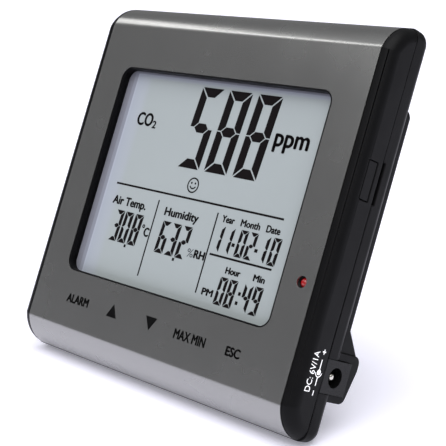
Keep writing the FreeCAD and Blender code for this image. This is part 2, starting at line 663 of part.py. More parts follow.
def lamp():
    """The alarm lamp: a flanged round lens on two leads."""
    barrel = rod("lamp_barrel", "Y", "led_radius", ("led_x", "led_tip + led_radius", "led_height"),
                 "case_wall + 1 - led_tip - led_radius")
    flange = rod("lamp_flange", "Y", "led_radius + 0.4", ("led_x", "case_wall + 0.1", "led_height"),
                 "1.0")
    dome = ball("lamp_dome", "led_radius", ("led_x", "led_tip + led_radius", "led_height"))
    node("alarm_lamp", fuse("lamp", barrel, flange, dome))
    leads = [box(f"lamp_lead_{number}", [
        (f"led_x + {offset} - 0.25", f"led_x + {offset} + 0.25"),
        ("case_wall + 1.1", "board_front"), ("led_height - 0.25", "led_height + 0.25")])
        for number, offset in enumerate((-1.0, 0.8))]
    node("alarm_lamp_leads", fuse("lamp_leads", *leads))


def gas_sensor():
    """The infrared gas sensor: board, pins, chamber, lamp, detector and filter."""
    left, right = "(sensor_x - sensor_width / 2)", "(sensor_x + sensor_width / 2)"
    lift = f"({BOARD_BACK} + sensor_lift)"
    floor = f"({lift} + sensor_board)"
    node("gas_sensor_board", box("sensor_plate", [
        (left, right), (lift, floor), ("sensor_low", "sensor_low + sensor_length")]))
    pins = [box(f"sensor_pin_{number}", [
        (f"{left} + 2 + {number} * 2.54", f"{left} + 2.6 + {number} * 2.54"),
        (BOARD_BACK, lift), ("sensor_low + 1", "sensor_low + 1.6")]) for number in range(7)]
    node("gas_sensor_pins", fuse("sensor_pins", *pins))
    start = "(sensor_low + (sensor_length - chamber_length) / 2)"
    middle = f"({floor} + chamber_height / 2)"
    block = box("chamber_block", [
        ("sensor_x - chamber_width / 2", "sensor_x + chamber_width / 2"),
        (floor, f"{floor} + chamber_height"), (start, f"{start} + chamber_length")])
    tube = rod("chamber_tube", "Z", "tube_radius + fit_gap", ("sensor_x", middle, f"{start} - 1"),
               "chamber_length + 2")
    seat = rod("filter_seat", "Y", "filter_radius + fit_gap", (
        "sensor_x", f"{floor} + chamber_height - filter_thick",
        "sensor_low + sensor_length / 2"), "3")
    throat = rod("filter_throat", "Y", "filter_radius - 1.2", (
        "sensor_x", middle, "sensor_low + sensor_length / 2"), "5")
    node("gas_sensor_chamber", cut("chamber", block, tube, seat, throat))
    node("gas_sensor_filter", rod("filter", "Y", "filter_radius", (
        "sensor_x", f"{floor} + chamber_height - filter_thick",
        "sensor_low + sensor_length / 2"), "filter_thick"))
    node("gas_sensor_lamp", rod("sensor_lamp", "Z", "tube_radius", (
        "sensor_x", middle, f"{start} - 1"), "5"))
    node("gas_sensor_detector", rod("sensor_eye", "Z", "tube_radius", (
        "sensor_x", middle, f"{start} + chamber_length - 4"), "5"))


def power_socket():
    """The low-voltage socket with its centre pin, flush in the right side."""
    body = box("socket_block", [
        (f"{HALF} - socket_length", HALF), (BOARD_BACK, f"{BOARD_BACK} + socket_depth"),
        ("socket_height - socket_size / 2", "socket_height + socket_size / 2")])
    barrel = rod("socket_barrel", "X", "barrel_radius", (
        f"{HALF} - barrel_depth", SOCKET_AXIS, "socket_height"), "barrel_depth + 1")
    root = rod("socket_root", "X", "socket_pin_radius", (
        f"{HALF} - barrel_depth - 2", SOCKET_AXIS, "socket_height"), "4")
    node("power_socket", cut("socket", body, barrel, root))
    node("power_socket_pin", rod("socket_pin", "X", "socket_pin_radius", (
        f"{HALF} - barrel_depth - 2", SOCKET_AXIS, "socket_height"), "barrel_depth + 1.2"))


def port_plug():
    """The blanking plug in the unused port of the right side."""
    gap = "port_gap"
    face = box("plug_face", [
        (f"{HALF} - case_wall", f"{HALF} - port_recess"),
        (f"port_front + {gap}", f"port_front + port_depth - {gap}"),
        (f"port_low + {gap}", f"port_low + port_length - {gap}")])
    lip = box("plug_lip", [
        (f"{HALF} - case_wall - 1", f"{HALF} - case_wall"),
        ("port_front - 0.3", "port_front + port_depth"), ("port_low - 1", "port_low + port_length + 1")])
    node("port_plug", fuse("plug", face, lip))


def case_screws():
    """Four cross-head screws that hold the rear cover to the front case."""
    screws = []
    for number, (x, z) in enumerate(SCREW_PLACES):
        seat = "(back_depth - head_height - 0.2)"
        shank = rod(f"case_shank_{number}", "Y", "screw_radius",
                    (x, f"{seat} - screw_length", z), "screw_length + 0.2")
        head = rod(f"case_head_{number}", "Y", "head_radius", (x, seat, z), "head_height")
        slots = [box(f"case_slot_{number}_{turn}", [
            (f"{x} - {wide}", f"{x} + {wide}"), (f"{seat} + head_height - 0.8", "back_depth + 1"),
            (f"{z} - {tall}", f"{z} + {tall}")])
            for turn, (wide, tall) in enumerate(((1.5, 0.35), (0.35, 1.5)))]
        screws.append(cut(f"case_screw_{number}", fuse(f"case_blank_{number}", shank, head), *slots))
    node("case_screws", fuse("case_screw_set", *screws))


def stand():
    """The fold-out stand, drawn folded into its recess."""
    half = "stand_width / 2"
    plate = box("stand_plate", [(f"-{half}", half),
                                ("hinge_depth - stand_thick / 2", "hinge_depth + stand_thick / 2"),
                                ("hinge_height - stand_length", "hinge_height + heel_height")])
    trims = mirrored(lambda side, sign: stand_trim(side, sign))
    window = box("stand_window", [("-stand_width / 4", "stand_width / 4"), ("0", "50"),
                                  ("hinge_height - stand_length + 14", "hinge_height - 14")])
    edges = size("stand_width / 4")
    low, high = size("hinge_height - stand_length + 14"), size("hinge_height - 14")
    soft_window = rounded("stand_window_soft", window, "stand_width / 10", lambda edge: any(
        spans_match(edge, {"x": x, "z": z}) for x in (-edges, edges) for z in (low, high)))
    bore = rod("stand_bore", "X", "pin_radius + fit_gap",
               (f"-{half} - 1", "hinge_depth", "hinge_height"), "stand_width + 2")
    pad_room = rod("pad_room", "X", "pad_radius",
                   ("-pad_length / 2", "hinge_depth", "hinge_height - stand_length"), "pad_length")
    leg = node("stand_leg", cut("leg", plate, *trims, soft_window, bore, pad_room))
    tube = rod("pad_tube", "X", "pad_radius",
               ("-pad_length / 2", "hinge_depth", "hinge_height - stand_length"), "pad_length")
    pad = node("stand_pad", tube)
    node("stand_pin", rod("hinge_pin", "X", "pin_radius",
                          ("-pin_length / 2", "hinge_depth", "hinge_height"), "pin_length"))
    return leg, pad


def stand_trim(side, sign):
    """The strip that narrows one side of the stand below its knuckle."""
    low, high = "stand_width / 2 - stand_shoulder", "stand_width / 2 + 2"
    if sign:
        low, high = f"-({high})", f"-({low})"
    return box(f"stand_trim_{side}", [
        (low, high), ("hinge_depth - stand_thick", "hinge_depth + stand_thick"),
        ("hinge_height - stand_length - 1", "hinge_height - 8")])


def feet():
    """Two rubber bars under the rear lower corner."""
    bars = mirrored(lambda side, sign: foot_bar(f"foot_bar_{side}", sign, "0"))
    node("rubber_feet", fuse("foot_set", *bars))


front_panel()
front_case()
rear_cover()
display()
boards()
keys()
lamp()
gas_sensor()
power_socket()
port_plug()
case_screws()
moving = stand()
feet()
doc.recompute()

# Lean the instrument back and stand it on the table, with the stand open.
seated = Placement(Vector(0, SHIFT_BACK, SHIFT_UP), Rotation(Vector(1, 0, 0), -size("lean")))
swing = Placement(Vector(), Rotation(Vector(1, 0, 0), size("stand_open")),
                  Vector(0, size("hinge_depth"), size("hinge_height")))

finished = {}
for name, item in NODES.items():
    piece = doc.addObject("Part::Compound", name)
    piece.Links = [item]
    piece.Placement = seated.multiply(swing) if item in moving else seated
    piece.Label = name
    finished[name] = piece
doc.recompute()

faults = [item.Label for item in doc.Objects
          if "Invalid" in item.State or "Error" in item.State]
if faults:
    raise RuntimeError(f"did not compute: {', '.join(faults)}")
for name, item in finished.items():
    if item.Shape.isNull() or not item.Shape.isValid():
        raise RuntimeError(f"{name} has no valid shape")

os.makedirs("parts", exist_ok=True)
for name, item in finished.items():
    solids = item.Shape.Solids
    shape = solids[0] if len(solids) == 1 else item.Shape
    shape.exportStep(f"parts/{name}.step")
print(f"{len(finished)} nodes, stand open by {size('stand_open'):.3f} degrees")
for place, point in {
        "hinge": Vector(0, size("hinge_depth"), size("hinge_height")),
        "socket mouth": Vector(size(HALF), size(SOCKET_AXIS), size("socket_height"))}.items():
    at = seated.multVec(point)
    print(f"{place} at {at.x:.4f}, {at.y:.4f}, {at.z:.4f}")
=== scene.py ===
"""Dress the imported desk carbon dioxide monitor: finishes, display, print, hardware and studio."""

import json
import logging
import math
from collections.abc import Sequence
from dataclasses import dataclass, field
from enum import Enum

import bmesh
import bpy
from mathutils import Euler, Matrix, Vector


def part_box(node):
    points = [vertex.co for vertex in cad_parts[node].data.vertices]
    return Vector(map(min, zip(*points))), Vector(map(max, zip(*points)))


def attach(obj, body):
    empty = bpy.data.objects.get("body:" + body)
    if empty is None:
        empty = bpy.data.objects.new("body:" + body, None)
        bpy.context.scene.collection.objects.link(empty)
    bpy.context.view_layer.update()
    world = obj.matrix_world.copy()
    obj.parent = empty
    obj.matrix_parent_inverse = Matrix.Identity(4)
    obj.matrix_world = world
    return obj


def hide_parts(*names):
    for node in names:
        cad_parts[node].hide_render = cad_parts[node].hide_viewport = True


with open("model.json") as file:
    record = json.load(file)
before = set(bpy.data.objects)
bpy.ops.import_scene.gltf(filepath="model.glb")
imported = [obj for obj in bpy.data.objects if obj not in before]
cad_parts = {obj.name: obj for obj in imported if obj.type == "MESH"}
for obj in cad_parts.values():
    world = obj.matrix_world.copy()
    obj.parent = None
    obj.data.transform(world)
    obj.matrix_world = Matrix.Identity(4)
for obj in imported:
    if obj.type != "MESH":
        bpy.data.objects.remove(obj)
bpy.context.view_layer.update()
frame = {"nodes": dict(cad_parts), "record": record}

LOG = logging.getLogger("monitor")
HOUSING = "housing"
STAND = "stand"
MM = 0.001
# Corners of a CAD mesh closer than this, in metres, are one corner.
WELD = 2e-6
# Faces that meet at less than this angle, in radians, are one flat face.
FLAT = math.radians(0.1)

Point = tuple[float, float]
Place = tuple[float, float, float]


# ---------------------------------------------------------------------------------------
# The upright drawing frame: X right, Y into the depth from the flat face, Z up the face.


@dataclass(frozen=True)
class Stance:
    """How the upright case, drawn in millimetres, leans back on the table."""

    lean: float
    origin: Vector

    @classmethod
    def from_record(cls, record: dict) -> "Stance":
        """Read the lean from a key's travel and the place from the power socket.

        Args:
            record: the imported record.

        Returns:
            The stance of the case.
        """
        key = next(j for j in record["behaviour"]["joints"] if j["type"] == "slide")
        lean = math.atan2(-key["axis"][2], key["axis"][1])
        mount = next(m for m in record["mounts"] if m["name"] == "power_socket")
        turn = Matrix.Rotation(-lean, 3, "X")
        return cls(lean, Vector(mount["pos_m"]) - turn @ (Vector(SOCKET_MOUTH) * MM))

    @property
    def matrix(self) -> Matrix:
        """The transform from upright millimetres to the table's metres."""
        turn = Matrix.Rotation(-self.lean, 4, "X")
        return Matrix.Translation(self.origin) @ turn @ Matrix.Scale(MM, 4)


SOCKET_MOUTH: Place = (60.0, 14.8, 19.0)
STANCE = Stance.from_record(frame["record"])


# ---------------------------------------------------------------------------------------
# Finishes.


def srgb(code: str) -> tuple[float, float, float, float]:
    """Turn an sRGB hex code into a linear colour.

    Args:
        code: six hex digits, with or without a leading hash.

    Returns:
        The linear red, green, blue and an alpha of one.
    """
    parts = [int(code.lstrip("#")[i:i + 2], 16) / 255 for i in (0, 2, 4)]
    linear = [p / 12.92 if p <= 0.04045 else ((p + 0.055) / 1.055) ** 2.4 for p in parts]
    return (*linear, 1.0)


def add_node(tree: bpy.types.NodeTree, kind: str, values: dict | None = None,
             links: dict | None = None, **settings: object) -> bpy.types.Node:
    """Add one node to a tree.

    Args:
        tree: the node tree that gets the node.
        kind: the node's type name.
        values: input name or index to constant value.
        links: input name or index to the socket that feeds it.
        settings: properties of the node itself.

    Returns:
        The new node.
    """
    made = tree.nodes.new(kind)
    for name, value in settings.items():
        setattr(made, name, value)
    for key, value in (values or {}).items():
        made.inputs[key].default_value = value
    for key, socket in (links or {}).items():
        tree.links.new(socket, made.inputs[key])
    return made


@dataclass(frozen=True)
class Finish:
    """A surface finish with a fine grain, a slow colour drift and an uneven gloss.

    Sizes are real ones in millimetres: the width of one grain, and of one slow blotch.
    """

    title: str
    colour: str
    drift: str
    roughness: tuple[float, float] = (0.4, 0.5)
    metallic: float = 0.0
    ior: float = 1.5
    grain_mm: float = 0.4
    grain_depth_mm: float = 0.02
    grain_strength: float = 0.2
    blotch_mm: float = 30.0
    stretch: Place = (1.0, 1.0, 1.0)
    coat: float = 0.0
    transmission: float = 0.0
    speckle: float = 0.0
    emission: float = 0.0

    def material(self) -> bpy.types.Material:
        """Build the finish's material once, and share it after that.

        Returns:
            The material.
        """
        known = bpy.data.materials.get(self.title)
        if known:
            return known
        made = bpy.data.materials.new(self.title)
        made.use_nodes = True
        made.diffuse_color = srgb(self.colour)
        tree = made.node_tree
        tree.nodes.clear()
        shader = add_node(tree, "ShaderNodeBsdfPrincipled", {
            "Metallic": self.metallic, "Coat Weight": self.coat, "Coat Roughness": 0.06,
            "Transmission Weight": self.transmission})
        if not self.metallic:
            shader.inputs["IOR"].default_value = self.ior
        if self.emission:
            shader.inputs["Emission Color"].default_value = srgb(self.colour)
            shader.inputs["Emission Strength"].default_value = self.emission
        add_node(tree, "ShaderNodeOutputMaterial", links={"Surface": shader.outputs["BSDF"]})
        self.wire(tree, shader, self.coordinates(tree))
        return made

    def coordinates(self, tree: bpy.types.NodeTree) -> bpy.types.NodeSocket:
        """Turn object coordinates upright with the case, in millimetres.

        Args:
            tree: the material's node tree.

        Returns:
            The socket that gives the place.
        """
        source = add_node(tree, "ShaderNodeTexCoord")
        upright = add_node(tree, "ShaderNodeMapping", {
            "Location": -STANCE.origin},
            {"Vector": source.outputs["Object"]}, vector_type="POINT")
        turned = add_node(tree, "ShaderNodeMapping", {
            "Rotation": Euler((STANCE.lean, 0, 0)), "Scale": [s / MM for s in self.stretch]},
            {"Vector": upright.outputs["Vector"]}, vector_type="POINT")
        return turned.outputs["Vector"]

    def noise(self, tree: bpy.types.NodeTree, where: bpy.types.NodeSocket, width_mm: float,
              detail: float = 2.0) -> bpy.types.NodeSocket:
        """Add a noise.

        Args:
            tree: the material's node tree.
            where: the place in millimetres.
            width_mm: how wide its features are.
            detail: how many finer layers it has.

        Returns:
            The socket that gives the noise.
        """
        made = add_node(tree, "ShaderNodeTexNoise", {
            "Scale": 1 / width_mm, "Detail": detail, "Roughness": 0.55}, {"Vector": where})
        return made.outputs["Fac"]

    def colours(self, tree: bpy.types.NodeTree, where: bpy.types.NodeSocket,
                grain: bpy.types.NodeSocket) -> bpy.types.NodeSocket:
        """Make the base colour: a slow drift between two colours, and the grain's speckle.

        Args:
            tree: the material's node tree.
            where: the place in millimetres.
            grain: the fine noise.

        Returns:
            The socket that gives the colour.
        """
        slow = self.noise(tree, where, self.blotch_mm)
        drift = add_node(tree, "ShaderNodeMix", data_type="RGBA")
        set_mix(tree, drift, slow, srgb(self.colour), srgb(self.drift))
        if not self.speckle:
            return drift.outputs[2]
        spot = add_node(tree, "ShaderNodeMapRange", {
            "From Min": 0.3, "From Max": 0.7, "To Min": 1 - self.speckle,
            "To Max": 1 + self.speckle}, {"Value": grain})
        lit = add_node(tree, "ShaderNodeVectorMath", links={
            0: drift.outputs[2], "Scale": spot.outputs["Result"]}, operation="SCALE")
        return lit.outputs["Vector"]

    def wire(self, tree: bpy.types.NodeTree, shader: bpy.types.Node,
             where: bpy.types.NodeSocket) -> None:
        """Feed the shader's colour, roughness and normal.

        Args:
            tree: the material's node tree.
            shader: the surface shader.
            where: the place in millimetres.
        """
        grain = self.noise(tree, where, self.grain_mm, 3.0)
        colour = self.colours(tree, where, grain)
        tree.links.new(colour, shader.inputs["Base Color"])
        uneven = add_node(tree, "ShaderNodeMapRange", {
            "From Min": 0.35, "From Max": 0.65, "To Min": self.roughness[0],
            "To Max": self.roughness[1]}, {"Value": self.noise(tree, where, self.blotch_mm / 3)})
        tree.links.new(uneven.outputs["Result"], shader.inputs["Roughness"])
        if self.grain_strength:
            bump = add_node(tree, "ShaderNodeBump", {
                "Strength": self.grain_strength, "Distance": self.grain_depth_mm * MM},
                {"Height": grain})
            tree.links.new(bump.outputs["Normal"], shader.inputs["Normal"])


def set_mix(tree: bpy.types.NodeTree, mix: bpy.types.Node, factor: bpy.types.NodeSocket,
            first: tuple | bpy.types.NodeSocket, second: tuple | bpy.types.NodeSocket) -> None:
    """Set a colour mix node's factor and its two colours.

    Args:
        tree: the tree that holds the node.
        mix: a Mix node whose data type is RGBA.
        factor: the socket that chooses between the colours.
        first: a colour, or the socket that gives it.
        second: a colour, or the socket that gives it.
    """
    tree.links.new(factor, mix.inputs[0])
    for index, value in ((6, first), (7, second)):
        if isinstance(value, bpy.types.NodeSocket):
            tree.links.new(value, mix.inputs[index])
        else:
            mix.inputs[index].default_value = value


@dataclass(frozen=True)
class CircuitBoard(Finish):
    """Green solder mask over etched copper tracks, which show as a lighter green."""

    track_mm: float = 1.1

    def colours(self, tree: bpy.types.NodeTree, where: bpy.types.NodeSocket,
                grain: bpy.types.NodeSocket) -> bpy.types.NodeSocket:
        """Lay lighter tracks in bands over the mask colour.

        Args:
            tree: the material's node tree.
            where: the place in millimetres.
            grain: the fine noise, which the mask doesn't show.

        Returns:
            The socket that gives the colour.
        """
        band = add_node(tree, "ShaderNodeTexWave", {
            "Scale": 0.31 / self.track_mm, "Distortion": 6.0, "Detail": 1.0,
            "Detail Scale": 0.35}, {"Vector": where}, wave_profile="SIN")
        edge = add_node(tree, "ShaderNodeMapRange", {
            "From Min": 0.62, "From Max": 0.68}, {"Value": band.outputs["Fac"]})
        mix = add_node(tree, "ShaderNodeMix", data_type="RGBA")
        set_mix(tree, mix, edge.outputs["Result"], srgb(self.colour), srgb(self.drift))
        return mix.outputs[2]


@dataclass(frozen=True)
class DisplayFilmWithPaintedShade(Finish):
    """The polariser over the liquid crystal, pale blue-grey.

    The window frame's stepped shadow on the reflector, widest along the left edge, is painted
    into the film's colour as painted shade, with a painted lilac reflection of the wall beside it.
    """

    left_mm: float = -44.1
    top_mm: float = 94.3
    # How many times narrower the painted shade steps are along the top edge than along the left
    # one.
    top_share: float = 5.5
    reach_mm: float = 12.0
    corner_mm: float = 1.5
    # Painted shade and reflection: dark steps for the frame's shadow, then a lighter lilac band.
    steps: tuple[tuple[float, str], ...] = (
        (0.0, "#7A7B84"), (2.3, "#7C7D87"), (2.5, "#888B95"), (3.9, "#898C97"),
        (4.1, "#A9AEBA"), (4.9, "#A1A7B1"), (8.4, "#A2A8AF"))

    def colours(self, tree: bpy.types.NodeTree, where: bpy.types.NodeSocket,
                grain: bpy.types.NodeSocket) -> bpy.types.NodeSocket:
        """Paint the steps of shadow and the lilac reflection near the left and top edges over the
        slow drift.

        Args:
            tree: the material's node tree.
            where: the place in millimetres.
            grain: the fine noise.

        Returns:
            The socket that gives the colour.
        """
        plain = super().colours(tree, where, grain)
        parts = add_node(tree, "ShaderNodeSeparateXYZ", links={"Vector": where})
        across = add_node(tree, "ShaderNodeMath", {1: self.left_mm},
                          {0: parts.outputs["X"]}, operation="SUBTRACT")
        down = add_node(tree, "ShaderNodeMath", {0: self.top_mm},
                        {1: parts.outputs["Z"]}, operation="SUBTRACT")
        scaled = add_node(tree, "ShaderNodeMath", {1: self.top_share},
                          {0: down.outputs["Value"]}, operation="MULTIPLY")
        nearest = add_node(tree, "ShaderNodeMath", {2: self.corner_mm}, {
            0: across.outputs["Value"], 1: scaled.outputs["Value"]}, operation="SMOOTH_MIN")
        share = add_node(tree, "ShaderNodeMath", {1: self.reach_mm},
                         {0: nearest.outputs["Value"]}, operation="DIVIDE")
        ramp = add_node(tree, "ShaderNodeValToRGB", links={"Fac": share.outputs["Value"]})
        stops = ramp.color_ramp.elements
        stops.remove(stops[1])
        for number, (place, code) in enumerate(self.steps):
            stop = stops[0] if number == 0 else stops.new(place / self.reach_mm)
            stop.color = srgb(code)
        fade = add_node(tree, "ShaderNodeMapRange", {
            "From Min": self.steps[-1][0] / self.reach_mm, "From Max": 1.0},
            {"Value": share.outputs["Value"]}, interpolation_type="SMOOTHSTEP")
        mix = add_node(tree, "ShaderNodeMix", data_type="RGBA")
        set_mix(tree, mix, fade.outputs["Result"], ramp.outputs["Color"], plain)
        return mix.outputs[2]


# Aluminium sheet under sprayed silver-grey paint: a satin sheen with metal flake, which is
# drawn much coarser than the real 0.05 mm so that it shows.
SILVER = Finish("sprayed_aluminium", "#969695", "#929290", roughness=(0.25, 0.28), metallic=0.92,
                grain_mm=0.9, grain_strength=0.0, blotch_mm=60, speckle=0.012)
# ABS moulded against a spark-eroded tool: a fine even grain that spreads the light.
BLACK = Finish("moulded_abs_black", "#0B0B0C", "#0F0F10", roughness=(0.38, 0.46), ior=1.19,
               grain_mm=0.45, grain_depth_mm=0.02, grain_strength=0.30, blotch_mm=25,
               speckle=0.06)
# The same ABS where a polished tool leaves it smoother, as on the socket.
BLACK_SMOOTH = Finish("polished_abs_black", "#0B0B0C", "#0F0F10", roughness=(0.24, 0.32),
                      ior=1.28, grain_mm=0.9, grain_depth_mm=0.01, grain_strength=0.10,
                      blotch_mm=9)
# Moulded silicone rubber: dull, with no shine of its own.
RUBBER = Finish("soft_rubber", "#131314", "#1A1A1B", roughness=(0.70, 0.85), grain_mm=0.6,
                grain_depth_mm=0.04, grain_strength=0.45, blotch_mm=6)
# Zinc-plated steel of the screws and the hinge pin.
STEEL = Finish("zinc_plated_steel", "#B7B9BC", "#A3A6AB", roughness=(0.24, 0.36), metallic=1.0,
               grain_mm=0.5, grain_depth_mm=0.006, grain_strength=0.2, blotch_mm=3,
               stretch=(1.0, 1.0, 0.3))
# Bright nickel plate on the socket's brass contacts.
NICKEL = Finish("bright_nickel", "#D6D3CC", "#C9C5BC", roughness=(0.12, 0.2), metallic=1.0,
                grain_mm=0.4, grain_depth_mm=0.003, grain_strength=0.15, blotch_mm=2,
                stretch=(0.2, 1.0, 1.0))
# Gold-plated brass of the gas sensor's chamber and pins.
GOLD = Finish("gold_plated_brass", "#D8B265", "#C79C4C", roughness=(0.22, 0.34), metallic=1.0,
              grain_mm=0.6, grain_depth_mm=0.005, grain_strength=0.2, blotch_mm=5)
# Red-tinted epoxy of the lamp, with a little of its own light.
LENS = Finish("red_epoxy_lens", "#B4161A", "#9C0E12", roughness=(0.10, 0.16), grain_mm=0.8,
              grain_depth_mm=0.004, grain_strength=0.08, blotch_mm=2, coat=0.6,
              transmission=0.25, emission=0.12)
# Glare-cutting polariser film on the display glass, with painted shade and a painted reflection of
# the frame along its left and top edges.
FILM_WITH_PAINTED_SHADE = DisplayFilmWithPaintedShade("polariser_film_painted_shade", "#A1A8A9", "#9DA4A5", roughness=(0.30, 0.36), ior=1.3,
                   grain_mm=0.5, grain_depth_mm=0.002, grain_strength=0.1, blotch_mm=45)
# Liquid crystal where it is switched dark.
CRYSTAL = Finish("darkened_crystal", "#0B0708", "#0F0A0C", roughness=(0.45, 0.5), ior=1.2,
                 grain_mm=0.5, grain_depth_mm=0.002, grain_strength=0.1, blotch_mm=12)
# Liquid crystal that is only half dark.
FAINT = Finish("half_dark_crystal", "#4A4D50", "#515458", roughness=(0.45, 0.5), ior=1.2,
               grain_mm=0.5, grain_depth_mm=0.002, grain_strength=0.1, blotch_mm=12)
# Black screen-printing ink on the silver face.
INK = Finish("black_screen_ink", "#050505", "#090909", roughness=(0.5, 0.6), ior=1.15,
             grain_mm=0.3, grain_depth_mm=0.006, grain_strength=0.3, blotch_mm=4)
# White pad-printing ink on the black cheek, with a slight painted glow that makes it brighter than
# the lamps alone light it.
WHITE_INK_PAINTED_GLOW = Finish("white_pad_ink_painted_glow", "#F6F6F6", "#F0F0F0", roughness=(0.5, 0.6), grain_mm=0.3,
                   grain_strength=0.0, blotch_mm=4, emission=0.4)
# White acetal of the frame, holder and plungers.
WHITE = Finish("moulded_acetal", "#D9D8D2", "#CFCEC7", roughness=(0.35, 0.45), grain_mm=0.5,
               grain_depth_mm=0.01, grain_strength=0.2, blotch_mm=10)
# Pearl-coated reflector film behind the liquid crystal.
PEARL = Finish("pearl_reflector", "#C9CFD2", "#BFC7CB", roughness=(0.3, 0.4), grain_mm=0.3,
               grain_depth_mm=0.01, grain_strength=0.3, blotch_mm=20, speckle=0.08)
# Black epoxy moulding compound of chips, switches and the buzzer.
CHIP = Finish("moulded_epoxy", "#1D1D1E", "#252526", roughness=(0.5, 0.6), grain_mm=0.3,
              grain_depth_mm=0.01, grain_strength=0.35, blotch_mm=6)
# Drawn steel or aluminium can, brushed round by the drawing.
CAN = Finish("drawn_steel_can", "#B9BBBD", "#A9ACAF", roughness=(0.26, 0.36), metallic=1.0,
             grain_mm=0.4, grain_depth_mm=0.004, grain_strength=0.2, blotch_mm=5,
             stretch=(1.0, 1.0, 0.25))
# Porous fluoropolymer filter that lets the gas in.
MEMBRANE = Finish("porous_membrane", "#E1E0DA", "#D2D1CA", roughness=(0.8, 0.9), grain_mm=0.35,
                  grain_depth_mm=0.04, grain_strength=0.6, blotch_mm=2)
# Contact strip of thin conducting and insulating silicone layers.
ZEBRA = Finish("layered_silicone", "#5A5B60", "#3E3F44", roughness=(0.6, 0.7), grain_mm=0.3,
               grain_depth_mm=0.02, grain_strength=0.3, blotch_mm=1.2, stretch=(3.0, 1.0, 0.2))
# Glass-fibre board under green solder mask.
BOARD = CircuitBoard("solder_mask", "#145232", "#2F7A4C", roughness=(0.3, 0.4), grain_mm=0.6,
                     grain_depth_mm=0.01, grain_strength=0.25, blotch_mm=10)
# Dark nylon gauze behind the vents.
GAUZE = Finish("woven_nylon", "#303033", "#3A3A3D", roughness=(0.55, 0.65), grain_mm=0.3,
               grain_depth_mm=0.02, grain_strength=0.3, blotch_mm=4)

NODE_FINISH = {
    "display_rear_glass": FILM_WITH_PAINTED_SHADE, "display_reflector": PEARL, "display_frame": WHITE,
    "display_contact_strips": ZEBRA, "main_board": BOARD, "board_screws": STEEL,
    "board_chips": CHIP, "power_capacitor": CAN, "buzzer": CHIP, "clock_cell_holder": WHITE,
    "clock_cell": CAN, "humidity_sensor": WHITE, "key_switches": CHIP,
    "alarm_lamp_leads": CAN, "gas_sensor_board": BOARD, "gas_sensor_pins": GOLD,
    "gas_sensor_chamber": GOLD, "gas_sensor_filter": MEMBRANE, "gas_sensor_lamp": CAN,
    "gas_sensor_detector": CAN, "stand_pin": STEEL,
}


# ---------------------------------------------------------------------------------------
# Making and finishing pieces.


def object_from(name: str, mesh: bpy.types.Mesh | bpy.types.Curve) -> bpy.types.Object:
    """Link a new object.

    Args:
        name: its name.
        mesh: the mesh or text curve that it shows.

    Returns:
        The object.
    """
    made = bpy.data.objects.new(name, mesh)
    bpy.context.scene.collection.objects.link(made)
    return made


def baked(item: bpy.types.Object) -> bpy.types.Mesh:
    """Apply everything on an object and take the object away.

    Args:
        item: an object with its modifiers.

    Returns:
        A plain mesh of what the object showed.
    """
    graph = bpy.context.evaluated_depsgraph_get()
    mesh = bpy.data.meshes.new_from_object(
        item.evaluated_get(graph), preserve_all_data_layers=True, depsgraph=graph)
    bpy.data.objects.remove(item)
    return mesh


def piece(name: str, mesh: bpy.types.Mesh, finish: Finish, body: str,
          stands_for: tuple[str, ...] = ()) -> bpy.types.Object:
    """Make a finished piece from a mesh that is already in place.

    Args:
        name: the piece's name.
        mesh: its shape, in the table's metres.
        finish: its surface.
        body: the CAD body it rides on.
        stands_for: the CAD nodes that it replaces.

    Returns:
        The new object.
    """
    made = object_from(name, mesh)
    mesh.materials.clear()
    mesh.materials.append(finish.material())
    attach(made, body)
    if stands_for:
        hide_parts(*stands_for)
    LOG.info("%s: %d faces on %s", name, len(mesh.polygons), body)
    return made


def upright(mesh: bpy.types.Mesh) -> bpy.types.Mesh:
    """Move a mesh drawn upright in millimetres to its place on the table."""
    mesh.transform(STANCE.matrix)
    return mesh


def mesh_from(build: bmesh.types.BMesh, name: str, smooth: bool = False) -> bpy.types.Mesh:
    """Turn a finished bmesh into a mesh, its faces pointing outwards.

    Args:
        build: the bmesh, which is freed.
        name: the mesh's name.
        smooth: whether to shade it smoothly.

    Returns:
        The mesh.
    """
    bmesh.ops.recalc_face_normals(build, faces=build.faces)
    mesh = bpy.data.meshes.new(name)
    build.to_mesh(mesh)
    build.free()
    if smooth:
        mesh.shade_smooth()
    return mesh


def softened(mesh: bpy.types.Mesh, width: float, segments: int = 3, angle: float = 32.0,
             beyond: float | None = None) -> bpy.types.Mesh:
    """Round a hard-edged mesh's edges and even out its shading.

    Args:
        mesh: the shape, in metres; it isn't changed.
        width: how far the rounding reaches from an edge, in millimetres.
        segments: how many facets the rounding has.
        angle: the least angle, in degrees, that counts as an edge.
        beyond: round only the edges at least this far from the middle, left or right, in
            millimetres, and don't shrink the rounding for lack of room elsewhere.

    Returns:
        A new mesh.
    """
    build = bmesh.new()
    build.from_mesh(mesh)
    bmesh.ops.remove_doubles(build, verts=build.verts, dist=WELD)
    bmesh.ops.dissolve_limit(build, angle_limit=FLAT, verts=build.verts,
                             edges=build.edges)
    large = [face for face in build.faces if len(face.verts) > 4]
    bmesh.ops.triangulate(build, faces=large, ngon_method="BEAUTY")
    if beyond is not None:
        weight = build.edges.layers.float.new("bevel_weight_edge")
        for edge in build.edges:
            outer = min(abs(vert.co.x) for vert in edge.verts) / MM
            bent = edge.calc_face_angle(0.0) > math.radians(angle)
            edge[weight] = float(bent and outer >= beyond)
    work = bpy.data.meshes.new("work")
    build.to_mesh(work)
    build.free()
    work.shade_smooth()
    item = object_from("work", work)
    edge = item.modifiers.new("edge", "BEVEL")
    edge.width = width * MM
    edge.segments = segments
    edge.limit_method = "ANGLE" if beyond is None else "WEIGHT"
    edge.angle_limit = math.radians(angle)
    edge.use_clamp_overlap = beyond is None
    edge.miter_outer = "MITER_ARC"
    even = item.modifiers.new("even", "WEIGHTED_NORMAL")
    even.keep_sharp = True
    return baked(item)


